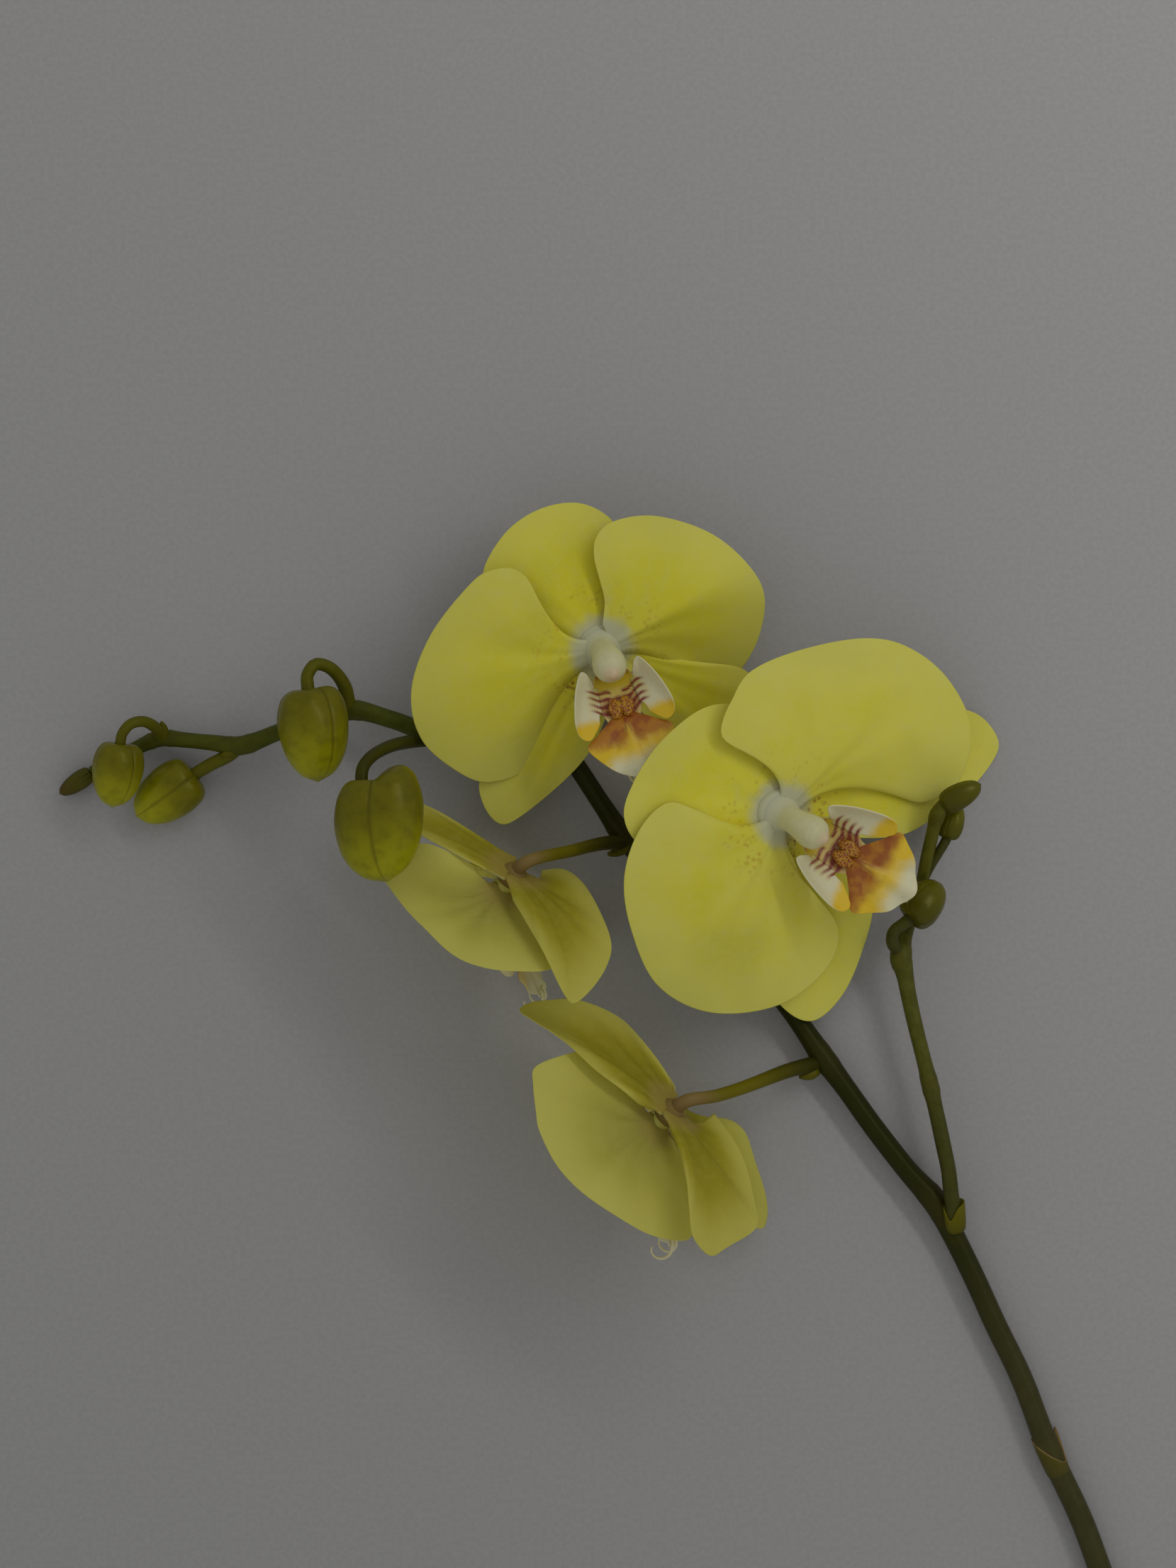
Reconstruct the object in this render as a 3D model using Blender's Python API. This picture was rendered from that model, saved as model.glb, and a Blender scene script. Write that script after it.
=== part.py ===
"""A cut stem of a yellow moth orchid, laid down on a table.

The flowering stem lies along the table and bends a little at each node. It carries four open flowers,
five buds, and a side branch with three more buds. Every flower has three sepals at the back, two broad
petals in front of them, a three-lobed lip and a column. Each of those is a blade or body of its own,
set under a millimetre clear of the stalk's end that carries it.

Units are metres, +Z is up and the table is z = 0. Landmarks are written as (column, row, height): a
pixel of the photograph, which looks straight down here, and a height above the table in millimetres.
"""
import bpy
import bmesh
import numpy as np

MM = 0.001
CURVE_STEPS = 16              # steps between two landmarks while a curve is worked out
SHARP_ANGLE = 50              # edges bent by more degrees than this are shaded sharp

# The view that turns a pixel and a height into a place
PIXEL = 0.16 * MM             # width of one pixel at the reference height
REFERENCE_HEIGHT = 30 * MM
EYE_HEIGHT = 1100 * MM        # the eye looks straight down from here
VIEW_CENTRE = (829.5, 1106.0)
ORIGIN_PIXEL = (886.4, 1627.6)   # this pixel's place on the table is the part's origin

# Stem and stalks
STEM_SIDES = 10
STALK_SIDES = 8
STEM_STEP = 5.5 * MM          # distance between two rings of a stem
STALK_STEP = 4.5 * MM         # and of a stalk
SIDE_STALK_STEP = 3 * MM      # and of a stalk on the side branch
GAP = 0.3 * MM                # left between a bud and its stalk
BRACT_SHAPE = (0.9, 1.0, 0.75, 0.3)   # half width along a bract, as shares of its widest
RECEPTACLE = ((-3.0, 1.6), (-1.4, 2.5), (0.4, 2.8))   # stalk's end under a flower: height and radius
RECEPTACLE_ROOT = -1.6        # the stalk ends inside it, at this height

# Flowers
TEPAL_THICKNESS = 0.8 * MM
TEPAL_ROWS = 4                # from the claw to the rim
TEPAL_COLUMNS = 16            # round the rim
CLAW_WIDTH = 4.2 * MM         # narrow foot of a sepal or petal
CLAW_RING = 3.3 * MM          # distance of the claws from the flower's axis
RAY_BEND = 0.45               # how far along a ray, as a share, it keeps to the blade's length
RIB_REACH = 0.13              # half width of a midrib, as a share of the rim
TABLE_SOFTNESS = 1.2 * MM     # height over which a blade bends to lie along the table

# Finishes: linear red, green and blue, and the roughness
STEM_FINISH = ((0.030, 0.040, 0.008), 0.5)
BRANCH_FINISH = ((0.060, 0.080, 0.020), 0.4)
BUD_FINISH = ((0.130, 0.140, 0.012), 0.35)
SEPAL_FINISH = ((0.480, 0.440, 0.060), 0.5)
PETAL_FINISH = ((0.560, 0.520, 0.080), 0.5)
LIP_FINISH = ((0.520, 0.480, 0.240), 0.5)
COLUMN_FINISH = ((0.580, 0.560, 0.360), 0.45)


def place(column, row, height):
    """The point at a height in millimetres that shows at a pixel of the photograph."""
    z = height * MM
    scale = PIXEL * (EYE_HEIGHT - z) / (EYE_HEIGHT - REFERENCE_HEIGHT)
    origin_scale = PIXEL * EYE_HEIGHT / (EYE_HEIGHT - REFERENCE_HEIGHT)
    x = (column - VIEW_CENTRE[0]) * scale - (ORIGIN_PIXEL[0] - VIEW_CENTRE[0]) * origin_scale
    y = (VIEW_CENTRE[1] - row) * scale - (VIEW_CENTRE[1] - ORIGIN_PIXEL[1]) * origin_scale
    return np.array([x, y, z])


def places(landmarks):
    """The points of a list of landmarks."""
    return np.array([place(*landmark) for landmark in landmarks])


def unit(vector):
    return vector / np.linalg.norm(vector)


def curve_through(points, count):
    """A smooth curve through the points, read at count + 1 places an equal way apart.

    Each stretch between two points is a cubic whose slopes at its ends follow the points before and
    after it.
    """
    points = np.asarray(points, float)
    before = np.vstack([2 * points[0] - points[1], points[:-1]])
    after = np.vstack([points[1:], 2 * points[-1] - points[-2]])
    slopes = (after - before) / 2
    t = np.linspace(0, 1, CURVE_STEPS + 1)[:, None, None]
    a, b, va, vb = points[:-1], points[1:], slopes[:-1], slopes[1:]
    dense = ((2 * t**3 - 3 * t**2 + 1) * a + (t**3 - 2 * t**2 + t) * va
             + (3 * t**2 - 2 * t**3) * b + (t**3 - t**2) * vb)
    dense = np.vstack([dense[:-1].transpose(1, 0, 2).reshape(-1, points.shape[1]), points[-1:]])
    way = np.concatenate([[0], np.cumsum(np.linalg.norm(np.diff(dense, axis=0), axis=1))])
    wanted = np.linspace(0, way[-1], count + 1)
    return np.stack([np.interp(wanted, way, axis) for axis in dense.T], axis=1)


def material(name, colour, roughness):
    """A plain material of one colour."""
    shader = bpy.data.materials.new(name)
    shader.use_nodes = True
    principled = shader.node_tree.nodes["Principled BSDF"]
    principled.inputs["Base Color"].default_value = (*colour, 1)
    principled.inputs["Roughness"].default_value = roughness
    principled.inputs["Metallic"].default_value = 0.0
    return shader


def solid(name, points, faces):
    """A mesh object from points and faces, with its faces turned outwards."""
    mesh = bpy.data.meshes.new(name)
    mesh.from_pydata([tuple(p) for p in points], [], [tuple(f) for f in faces])
    shape = bmesh.new()
    shape.from_mesh(mesh)
    bmesh.ops.recalc_face_normals(shape, faces=shape.faces[:])
    shape.to_mesh(mesh)
    shape.free()
    mesh.shade_smooth()
    mesh.set_sharp_from_angle(angle=np.radians(SHARP_ANGLE))
    item = bpy.data.objects.new(name, mesh)
    bpy.context.scene.collection.objects.link(item)
    return item


def finish(item, look):
    """Give an object a material of its own, from a colour and a roughness."""
    item.data.materials.clear()
    item.data.materials.append(material(item.name + "_finish", *look))


def fuse(name, pieces, solver="EXACT"):
    """One closed body from overlapping solids, by a Boolean union on a collection."""
    base, others = pieces[0], pieces[1:]
    group = bpy.data.collections.new(name + "_parts")
    bpy.context.scene.collection.children.link(group)
    for item in others:
        bpy.context.scene.collection.objects.unlink(item)
        group.objects.link(item)
    union = base.modifiers.new("union", "BOOLEAN")
    union.operation = "UNION"
    union.operand_type = "COLLECTION"
    union.collection = group
    union.solver = solver
    bpy.context.view_layer.update()
    evaluated = base.evaluated_get(bpy.context.evaluated_depsgraph_get())
    mesh = bpy.data.meshes.new_from_object(evaluated)
    base.modifiers.clear()
    base.data = mesh
    for item in others:
        bpy.data.objects.remove(item)
    bpy.data.collections.remove(group)
    base.name = name
    mesh.name = name
    shape = bmesh.new()
    shape.from_mesh(mesh)
    bmesh.ops.triangulate(shape, faces=shape.faces[:], ngon_method="EAR_CLIP")
    shape.to_mesh(mesh)
    shape.free()
    return base


def grid_faces(rows, columns, start=0, flip=False):
    """Triangles of a grid of points whose rows lie one after another."""
    faces = []
    for i in range(rows):
        for j in range(columns):
            a = start + i * (columns + 1) + j
            b, c, d = a + 1, a + columns + 2, a + columns + 1
            pair = [(a, b, c), (a, c, d)]
            faces += [t[::-1] for t in pair] if flip else pair
    return faces


def thicken(name, surface, thickness):
    """A closed blade: the surface moved half the thickness to each side, with a wall round its edge.

    Both faces are split into the same triangles. At the narrow root all points move the same way, so the
    two faces can't cross there.
    """
    rows, columns = surface.shape[0] - 1, surface.shape[1] - 1
    along = np.gradient(surface, axis=0)
    across = np.gradient(surface, axis=1)
    normal = np.cross(along, across)
    normal /= np.linalg.norm(normal, axis=2, keepdims=True)
    share = np.linspace(0, 1, rows + 1)[:, None, None]
    normal = share * normal + (1 - share) * unit(normal.mean(axis=(0, 1)))
    normal /= np.linalg.norm(normal, axis=2, keepdims=True)
    upper = (surface + normal * thickness / 2).reshape(-1, 3)
    lower = (surface - normal * thickness / 2).reshape(-1, 3)
    count = len(upper)
    faces = grid_faces(rows, columns) + grid_faces(rows, columns, start=count, flip=True)
    index = np.arange(count).reshape(rows + 1, columns + 1)
    rim = np.concatenate([index[0, :-1], index[:-1, -1], index[-1, :0:-1], index[:0:-1, 0]])
    for a, b in zip(rim, np.roll(rim, -1)):
        faces += [(b, a, a + count), (b, a + count, b + count)]
    return solid(name, np.vstack([upper, lower]), faces)


def blade_surface(root, rim, claw, rows, columns, normal, crown, rib=0.0):
    """The middle surface of a sepal, petal or lobe.

    Rays fan out from the claw, a short line through the root, to the rim, a smooth curve by landmarks.
    Each leaves the claw along the blade's length and then bends aside to its place on the rim. The surface
    is then lifted along the normal: crown makes its middle bulge, and rib makes a ridge, or a groove if
    negative, along its middle ray.
    """
    edge = curve_through(rim, columns)
    across = claw if np.dot(claw, edge[-1] - edge[0]) > 0 else -claw
    v = np.linspace(0, 1, columns + 1)[None, :, None]
    u = np.linspace(0, 1, rows + 1)[:, None, None]
    foot = root + across * (v - 0.5)
    length = np.linalg.norm(edge - foot, axis=2, keepdims=True)
    bend = foot + RAY_BEND * length * unit(edge.mean(axis=0) - root)
    surface = (1 - u) ** 2 * foot + 2 * u * (1 - u) * bend + u ** 2 * edge
    dome = crown * np.sin(np.pi * u) * (1 - (2 * v - 1) ** 4)
    ridge = rib * np.sin(np.pi * u) * np.exp(-((v - 0.5) / RIB_REACH) ** 2)
    return surface + normal * (dome + ridge)


def settle(surface, thickness):
    """Bend a surface that would reach into the table so that it comes to lie along it."""
    lowest = thickness / 2
    drop = surface[..., 2] - lowest
    settled = surface.copy()
    settled[..., 2] = lowest + (drop + np.sqrt(drop ** 2 + TABLE_SOFTNESS ** 2)) / 2
    return settled


def rings_along(path, radii, sides):
    """Rings of points square to a path, carried along it without twisting."""
    tangents = np.gradient(path, axis=0)
    tangents /= np.linalg.norm(tangents, axis=1, keepdims=True)
    least = np.argmin(np.abs(tangents[0]))
    side = unit(np.cross(tangents[0], np.eye(3)[least]))
    angles = np.linspace(0, 2 * np.pi, sides, endpoint=False)
    rings = []
    for point, tangent, radius in zip(path, tangents, radii):
        side = unit(side - tangent * np.dot(side, tangent))
        up = np.cross(side, tangent)
        rings.append(point + radius * (np.cos(angles)[:, None] * side + np.sin(angles)[:, None] * up))
    return np.array(rings)


def skin(name, rings):
    """A closed solid from rings of points, with a flat cap at each end."""
    count, sides = rings.shape[:2]
    points = np.vstack([rings.reshape(-1, 3), rings[0].mean(axis=0), rings[-1].mean(axis=0)])
    faces = []
    for i in range(count - 1):
        for j in range(sides):
            k = (j + 1) % sides
            a, b = i * sides + j, i * sides + k
            faces += [(a, b, b + sides), (a, b + sides, a + sides)]
    first, last = count * sides, count * sides + 1
    end = (count - 1) * sides
    for j in range(sides):
        k = (j + 1) % sides
        faces += [(k, j, first), (end + j, end + k, last)]
    return solid(name, points, faces)


def tube(name, route, radii, sides, step):
    """A round stalk along a smooth curve through the route, whose radii are given at even places."""
    length = np.linalg.norm(np.diff(route, axis=0), axis=1).sum()
    count = max(4, int(round(length / step)))
    path = curve_through(route, count)
    radius = np.interp(np.linspace(0, 1, count + 1), np.linspace(0, 1, len(radii)), radii)
    return skin(name, rings_along(path, radius, sides))


def ball(name, centre, axis, radius, sides, rings):
    """A small ball built of rings round its axis."""
    t = np.linspace(0, np.pi, rings + 2)[1:-1]
    path = centre - np.outer(np.cos(t), unit(axis)) * radius
    return skin(name, rings_along(path, radius * np.sin(t), sides))


# The main stem, from its slanted cut to the tip: each bend is a node
MAIN_STEM = [
    (1675, 2535, 2.62), (1608, 2370, 2.8), (1551, 2212, 2.9), (1523, 2138, 3.0), (1479, 2044, 3.2),
    (1442, 1947, 3.4), (1404, 1868, 3.7), (1374, 1802, 4.0), (1346, 1745, 4.2), (1322, 1699, 4.4),
    (1279, 1650, 4.5), (1233, 1591, 4.6), (1193, 1535, 4.7), (1157, 1486, 4.7), (1115, 1425, 4.6),
    (1060, 1355, 4.8), (1010, 1306, 5.2), (945, 1248, 6.0), (886, 1188, 7.0), (851, 1138, 7.8),
    (817, 1086, 8.4), (785, 1040, 8.9), (742, 1014, 9.3), (690, 1024, 10.2), (620, 1040, 11.4),
    (582, 1026, 11.8), (548, 1014, 12.0), (496, 1002, 11.8), (440, 1018, 11.0), (393, 1033, 10.2),
    (341, 1052, 9.0), (300, 1048, 7.8), (260, 1044, 6.4), (226, 1042, 5.2), (193, 1055, 4.2),
    (160, 1072, 3.4), (130, 1089, 2.7)]
MAIN_STEM_RADII = [2.75, 2.75, 2.7, 2.65, 2.6, 2.55, 2.5, 2.4, 2.3, 2.25, 2.2, 2.15, 2.1, 2.05, 1.95,
                   1.75, 1.35]

# Swollen nodes of the main stem: landmark, extra radius and reach in millimetres
STEM_NODES = [
    ((1479, 2044, 3.2), 0.3, 5.0), ((1322, 1699, 4.4), 0.5, 6.0), ((1152, 1500, 4.7), 0.4, 5.5),
    ((1010, 1306, 5.2), 0.3, 5.0), ((880, 1180, 7.0), 0.4, 5.5), ((750, 1014, 9.3), 0.3, 5.0),
    ((620, 1038, 11.4), 0.3, 5.0), ((492, 1000, 11.8), 0.35, 5.0), ((338, 1052, 9.0), 0.4, 5.0),
    ((226, 1042, 5.2), 0.3, 5.0)]

# Stalks that grow from the main stem: route and radii in millimetres
FLOWER_STALKS = {
    "flower_1": ([(750, 1014, 9.3), (766, 975, 7.5), (800, 938, 9.0), (834, 921, 13.0), (848, 916, 18.2)],
                 [1.8, 1.7, 1.6, 1.7, 2.2]),
    "flower_2": ([(1010, 1306, 5.2), (1040, 1262, 5.0), (1072, 1205, 8.5), (1093, 1162, 16.0),
                  (1101, 1149, 24.8)], [1.9, 1.8, 1.7, 1.8, 2.3]),
    "flower_3": ([(886, 1188, 7.0), (849, 1190, 14.0), (803, 1201, 24.0), (768, 1208, 30.5),
                  (743, 1216, 33.0), (731, 1228, 32.5)], [2.0, 1.8, 1.65, 1.6, 1.6, 1.9]),
    "flower_4": ([(1152, 1500, 4.7), (1110, 1511, 12.0), (1052, 1533, 22.0), (1010, 1546, 28.5),
                  (972, 1552, 32.5), (948, 1564, 32.5)], [2.1, 1.95, 1.8, 1.7, 1.65, 1.9])}
BUD_STALKS = {
    "bud_heart": ([(620, 1040, 11.4), (600, 1043, 12.0), (574, 1047, 18.0), (550, 1053, 26.0),
                   (527, 1065, 33.0), (513, 1081, 37.0), (509, 1099, 38.0)],
                  [1.8, 1.6, 1.5, 1.45, 1.4, 1.4, 1.5]),
    "bud_second": ([(492, 1000, 11.8), (486, 968, 15.5), (468, 944, 19.0), (446, 937, 21.0),
                    (434, 952, 22.0), (434, 970, 22.5)], [1.8, 1.65, 1.5, 1.45, 1.45, 1.6]),
    "bud_third": ([(226, 1042, 5.2), (221, 1028, 9.5), (204, 1018, 13.0), (185, 1021, 14.5),
                   (173, 1034, 14.8), (170, 1046, 14.6)], [1.5, 1.4, 1.3, 1.25, 1.2, 1.25]),
    "bud_fourth": ([(338, 1052, 9.0), (322, 1066, 8.0), (300, 1077, 7.2), (286, 1085, 6.8),
                    (278, 1090, 6.6)], [1.7, 1.6, 1.55, 1.5, 1.55])}

# Bracts: scales that hug a node, by three landmarks along each and its half width in millimetres
BRACTS = [
    ([(1352, 1742, 5.5), (1347, 1706, 8.4), (1360, 1690, 9.6)], 3.3),
    ([(1152, 1510, 5.4), (1140, 1517, 6.4), (1128, 1519, 7.4)], 1.4),
    ([(890, 1190, 7.8), (870, 1202, 8.6), (858, 1205, 9.4)], 1.5),
    ([(492, 1004, 12.0), (484, 984, 13.8), (479, 975, 14.8)], 1.5),
    ([(336, 1057, 8.6), (322, 1063, 9.2), (312, 1066, 9.6)], 1.4),
    ([(228, 1046, 5.6), (231, 1030, 7.6), (228, 1019, 9.6)], 1.3)]

# The side branch, its swellings and the stalks on it
SIDE_BRANCH = [
    (1342, 1685, 8.7), (1338, 1650, 9.2), (1331, 1616, 9.3), (1322, 1574, 9.4), (1312, 1530, 9.5),
    (1302, 1490, 9.7), (1292, 1450, 9.9), (1283, 1410, 10.1), (1276, 1372, 10.4), (1271, 1350, 10.8),
    (1276, 1322, 9.0), (1288, 1285, 7.2), (1300, 1248, 8.0), (1308, 1208, 11.2), (1318, 1165, 14.6),
    (1323, 1144, 16.0)]
SIDE_BRANCH_RADII = [2.0, 1.8, 1.75, 1.8, 1.75, 1.75, 1.75, 1.8, 1.9, 1.7, 1.6, 1.5, 1.5, 1.6]
SIDE_NODES = [
    ((1312, 1530, 9.5), 0.3, 3.0), ((1270, 1349, 10.8), 0.8, 3.5), ((1321, 1148, 15.8), 0.5, 3.0)]
SIDE_STALKS = [
    ([(1301, 1242, 8.4), (1312, 1222, 9.6), (1324, 1203, 10.8), (1333, 1188, 11.4)],
     [1.3, 1.15, 1.1, 1.15]),
    ([(1270, 1344, 10.8), (1259, 1330, 13.4), (1261, 1314, 15.4), (1275, 1303, 15.6)],
     [1.6, 1.45, 1.4, 1.45])]

# Buds: the end at the stalk, the tip, width and depth in millimetres, how far the shoulders rise round
# the stalk and how far the bud's widest part leans to one side, both in millimetres
BUDS = {
    "bud_heart": ((513, 1108, 38.0), (547, 1244, 38.0), 20.4, 18.0, 2.8, 2.8),
    "bud_second": ((435, 975, 22.6), (449, 1103, 23.0), 16.8, 15.6, 0.8, 0.0),
    "bud_third": ((170, 1050, 14.4), (158, 1139, 13.4), 12.2, 11.0, 0.3, 0.0),
    "bud_fourth": ((274, 1093, 6.3), (192, 1152, 6.1), 13.2, 12.4, 0.3, 0.0),
    "bud_tip": ((129, 1090, 2.7), (84, 1120, 2.5), 4.6, 4.2, 0.0, 0.0),
    "side_bud_large": ((1283, 1296, 15.6), (1326, 1244, 13.6), 10.8, 10.0, 0.2, 0.0),
    "side_bud_small": ((1336, 1183, 11.6), (1352, 1133, 11.6), 6.0, 5.8, 0.0, 0.0),
    "side_bud_tip": ((1325, 1139, 16.3), (1384, 1104, 17.6), 4.9, 4.8, 0.0, 0.0)}
SMALL_BUD = 8.0               # buds under this width in millimetres get fewer faces
BUD_SEAMS = (0.35, 2.45, 4.55)   # angles round the bud of the seams between its sepals
BUD_SEAM_DEPTH = 0.05         # as a share of the radius
BUD_SEAM_REACH = 0.16         # half width of a seam, as the sine of half its angle

# Flowers: hub is the landmark where the sepals and petals meet; facing and up turn the flower; leaning
# says that heights of its landmarks count from the flower's own plane and not from the hub. A blade is
# its direction in the flower's plane in degrees, its height over that plane, its bulge, and its rim.
FLOWERS = {
    "flower_1": {
        "hub": (849, 915, 21.0), "facing": (0.10, -0.16, 1.0), "up": (-0.28, 0.96, 0.0), "leaning": True,
        "lip": (0.0, 1.0, -1.0),
        "dorsal_sepal": (90, -1.0, 1.4, [
            (775, 868, -1.8), (705, 838, -2.2), (682, 805, -2.8), (714, 750, -3.4),
            (762, 718, -4.0), (817, 710, -4.0), (862, 733, -3.2), (886, 780, -2.4), (880, 840, -1.8)]),
        "left_petal": (176, 0.8, 2.5, [
            (744, 816, 2.6), (715, 802, 2.2), (665, 822, 1.2),
            (608, 895, -0.6), (580, 976, -2.2), (596, 1045, -3.0), (655, 1094, -2.6), (698, 1104, -2.0),
            (748, 1085, -1.0), (782, 1012, 0.3)]),
        "right_petal": (4, 0.8, 2.5, [
            (842, 800, 2.4), (862, 740, 2.4), (925, 728, 1.0), (1000, 751, -0.8),
            (1054, 795, -2.0), (1080, 845, -3.0), (1069, 915, -4.0), (1030, 973, -4.0),
            (980, 985, -2.0), (930, 950, 0.0)]),
        "left_sepal": (232, -1.2, 1.0, [
            (765, 985, -3.0), (712, 1035, -4.5), (678, 1095, -5.5),
            (682, 1135, -6.0), (705, 1162, -6.4), (735, 1151, -6.0), (796, 1101, -4.6),
            (835, 1055, -3.4), (853, 1000, -2.4)]),
        "right_sepal": (312, -1.2, 1.0, [
            (896, 998, -2.8), (950, 1036, -4.8), (1010, 1055, -7.0),
            (1065, 1055, -9.0), (1093, 1025, -10.0), (1085, 985, -9.0), (1050, 945, -7.0),
            (1000, 935, -5.2), (940, 930, -3.2)])},
    "flower_2": {
        "hub": (1102, 1147, 28.0), "facing": (0.352, -0.229, 0.90), "up": (-0.848, 0.530, 0.0),
        "leaning": True, "lip": (8.0, 1.05, -1.0),
        "dorsal_sepal": (90, -1.0, 1.4, [
            (1030, 1188, -1.8), (960, 1207, -2.5), (903, 1192, -3.5),
            (880, 1150, -4.0), (897, 1098, -4.5), (934, 1044, -4.5), (985, 1002, -4.0),
            (1030, 993, -3.5), (1066, 1010, -3.0), (1086, 1060, -2.2)]),
        "left_petal": (178, 0.8, 2.5, [
            (1026, 1163, 1.6), (985, 1145, 2.0), (945, 1137, 2.0),
            (905, 1176, 1.2), (882, 1240, 0.0), (890, 1310, -0.8), (928, 1390, -1.2),
            (1001, 1428, -1.4), (1097, 1417, -1.2), (1165, 1367, -1.0), (1183, 1312, -0.8),
            (1150, 1258, 0.0)]),
        "right_petal": (2, 0.8, 2.5, [
            (1062, 1068, 2.0), (1018, 1042, 2.5), (1030, 995, 2.0),
            (1060, 948, 1.0), (1130, 917, 0.0), (1215, 900, -1.0), (1277, 911, -2.0),
            (1335, 955, -3.0), (1369, 1025, -4.0), (1354, 1100, -4.0), (1308, 1133, -2.5),
            (1264, 1124, -1.4)]),
        "left_sepal": (226, -1.2, 1.0, [
            (1080, 1240, -2.8), (1068, 1310, -3.8), (1078, 1382, -4.4),
            (1112, 1428, -4.6), (1149, 1440, -4.6), (1186, 1406, -4.8), (1213, 1350, -4.8),
            (1231, 1280, -4.2), (1213, 1226, -3.2)]),
        "right_sepal": (312, -1.2, 1.0, [
            (1215, 1180, -3.2), (1274, 1177, -5.0), (1320, 1151, -7.5),
            (1361, 1121, -10.0), (1396, 1079, -13.0), (1407, 1045, -14.4), (1381, 1009, -12.4),
            (1335, 1000, -9.2), (1270, 1020, -6.4), (1200, 1072, -3.8)])},
    "flower_3": {
        "hub": (722, 1238, 29.0), "facing": (-0.45, -0.79, -0.42), "up": (-0.87, 0.49, 0.0),
        "leaning": False, "lip": (-14.0, 0.88, 1.0),
        "dorsal_sepal": (90, -1.8, -0.6, [
            (682, 1224, 5.0), (660, 1213, 4.0), (630, 1197, 2.0), (597, 1182, 0.0), (548, 1154, -4.5),
            (522, 1132, -7.0), (560, 1126, -9.0), (609, 1139, -9.5), (652, 1165, -8.0),
            (692, 1200, -6.0), (706, 1213, -5.0)]),
        "left_petal": (186, 1.2, 1.0, [
            (628, 1210, -12.0), (608, 1214, -17.0), (620, 1224, -22.0), (650, 1228, -26.0),
            (700, 1232, -28.0), (747, 1236, -28.4), (785, 1238, -27.0), (803, 1238, -21.0),
            (790, 1236, -13.0)]),
        "right_petal": (-14, 2.2, 1.0, [
            (668, 1220, 2.5), (625, 1199, 1.5), (592, 1191, 0.0), (548, 1202, -3.0), (530, 1222, -4.0),
            (548, 1243, 0.0), (575, 1288, 8.0), (596, 1312, 14.0), (632, 1342, 21.0),
            (668, 1360, 24.0), (716, 1370, 25.0), (777, 1366, 20.0), (776, 1330, 12.0),
            (748, 1284, 5.0)]),
        "left_sepal": (236, -1.4, 1.0, [
            (768, 1256, -17.0), (798, 1280, -24.0), (828, 1308, -27.5), (847, 1327, -26.0),
            (845, 1332, -20.0), (825, 1324, -12.5), (797, 1308, -7.0), (768, 1284, -4.0)]),
        "right_sepal": (312, -1.6, -1.0, [
            (724, 1271, 8.0), (747, 1309, 15.0), (764, 1340, 21.0), (784, 1382, 26.0),
            (799, 1406, 28.0), (813, 1413, 27.0), (840, 1388, 23.0), (859, 1357, 18.0),
            (867, 1324, 12.0), (852, 1276, 4.0), (828, 1237, -2.5), (801, 1217, -6.5),
            (770, 1218, -7.0)])},
    "flower_4": {
        "hub": (942, 1571, 30.0), "facing": (-0.68, -0.60, -0.42), "up": (-0.66, 0.75, 0.0),
        "leaning": False, "lip": (-7.0, 0.95, 1.0),
        "dorsal_sepal": (90, -1.8, -0.6, [
            (908, 1553, 6.5), (883, 1533, 8.5), (849, 1506, 9.5), (813, 1471, 9.5), (786, 1453, 8.5),
            (758, 1440, 6.5), (734, 1425, 3.0), (750, 1413, -1.0), (781, 1410, -3.0),
            (813, 1412, -5.0), (869, 1434, -8.0), (899, 1458, -8.5), (926, 1491, -7.0),
            (952, 1532, -4.0)]),
        "left_petal": (186, 1.2, 1.0, [
            (872, 1512, -11.0), (856, 1506, -17.0), (868, 1524, -23.0), (895, 1548, -27.5),
            (930, 1578, -29.4), (965, 1610, -29.4), (998, 1638, -27.5), (1014, 1646, -21.5),
            (1004, 1624, -14.0)]),
        "right_petal": (-14, 2.2, 1.0, [
            (905, 1549, 1.5), (865, 1512, 2.5), (826, 1484, 4.0), (800, 1486, 6.5), (755, 1505, 12.0),
            (751, 1530, 15.0), (756, 1570, 18.5), (762, 1597, 20.5), (790, 1652, 22.5),
            (832, 1695, 22.0), (895, 1730, 19.0), (938, 1744, 16.0), (977, 1744, 12.0),
            (976, 1700, 8.0), (966, 1650, 4.5), (950, 1608, 2.0)]),
        "left_sepal": (236, -1.4, 1.0, [
            (990, 1590, -12.0), (1022, 1590, -17.0), (1050, 1604, -20.0), (1069, 1645, -23.0),
            (1081, 1691, -24.5), (1083, 1715, -24.0), (1077, 1732, -22.0), (1060, 1728, -17.5),
            (1035, 1705, -11.5), (1012, 1675, -7.0)]),
        "right_sepal": (312, -1.6, -1.0, [
            (960, 1626, 10.0), (969, 1666, 17.0), (973, 1708, 22.0),
            (979, 1744, 25.0), (1002, 1771, 25.0), (1024, 1761, 22.5), (1072, 1729, 16.0),
            (1078, 1703, 12.5), (1064, 1646, 5.0), (1044, 1602, 0.0), (1016, 1563, -4.0)])},
}
TEPALS = ("dorsal_sepal", "left_sepal", "right_sepal", "left_petal", "right_petal")
PETAL_RIB = 0.6               # ridge of the midrib of a petal, in millimetres
SEPAL_RIB = -0.5              # groove of the midrib of a sepal

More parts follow.
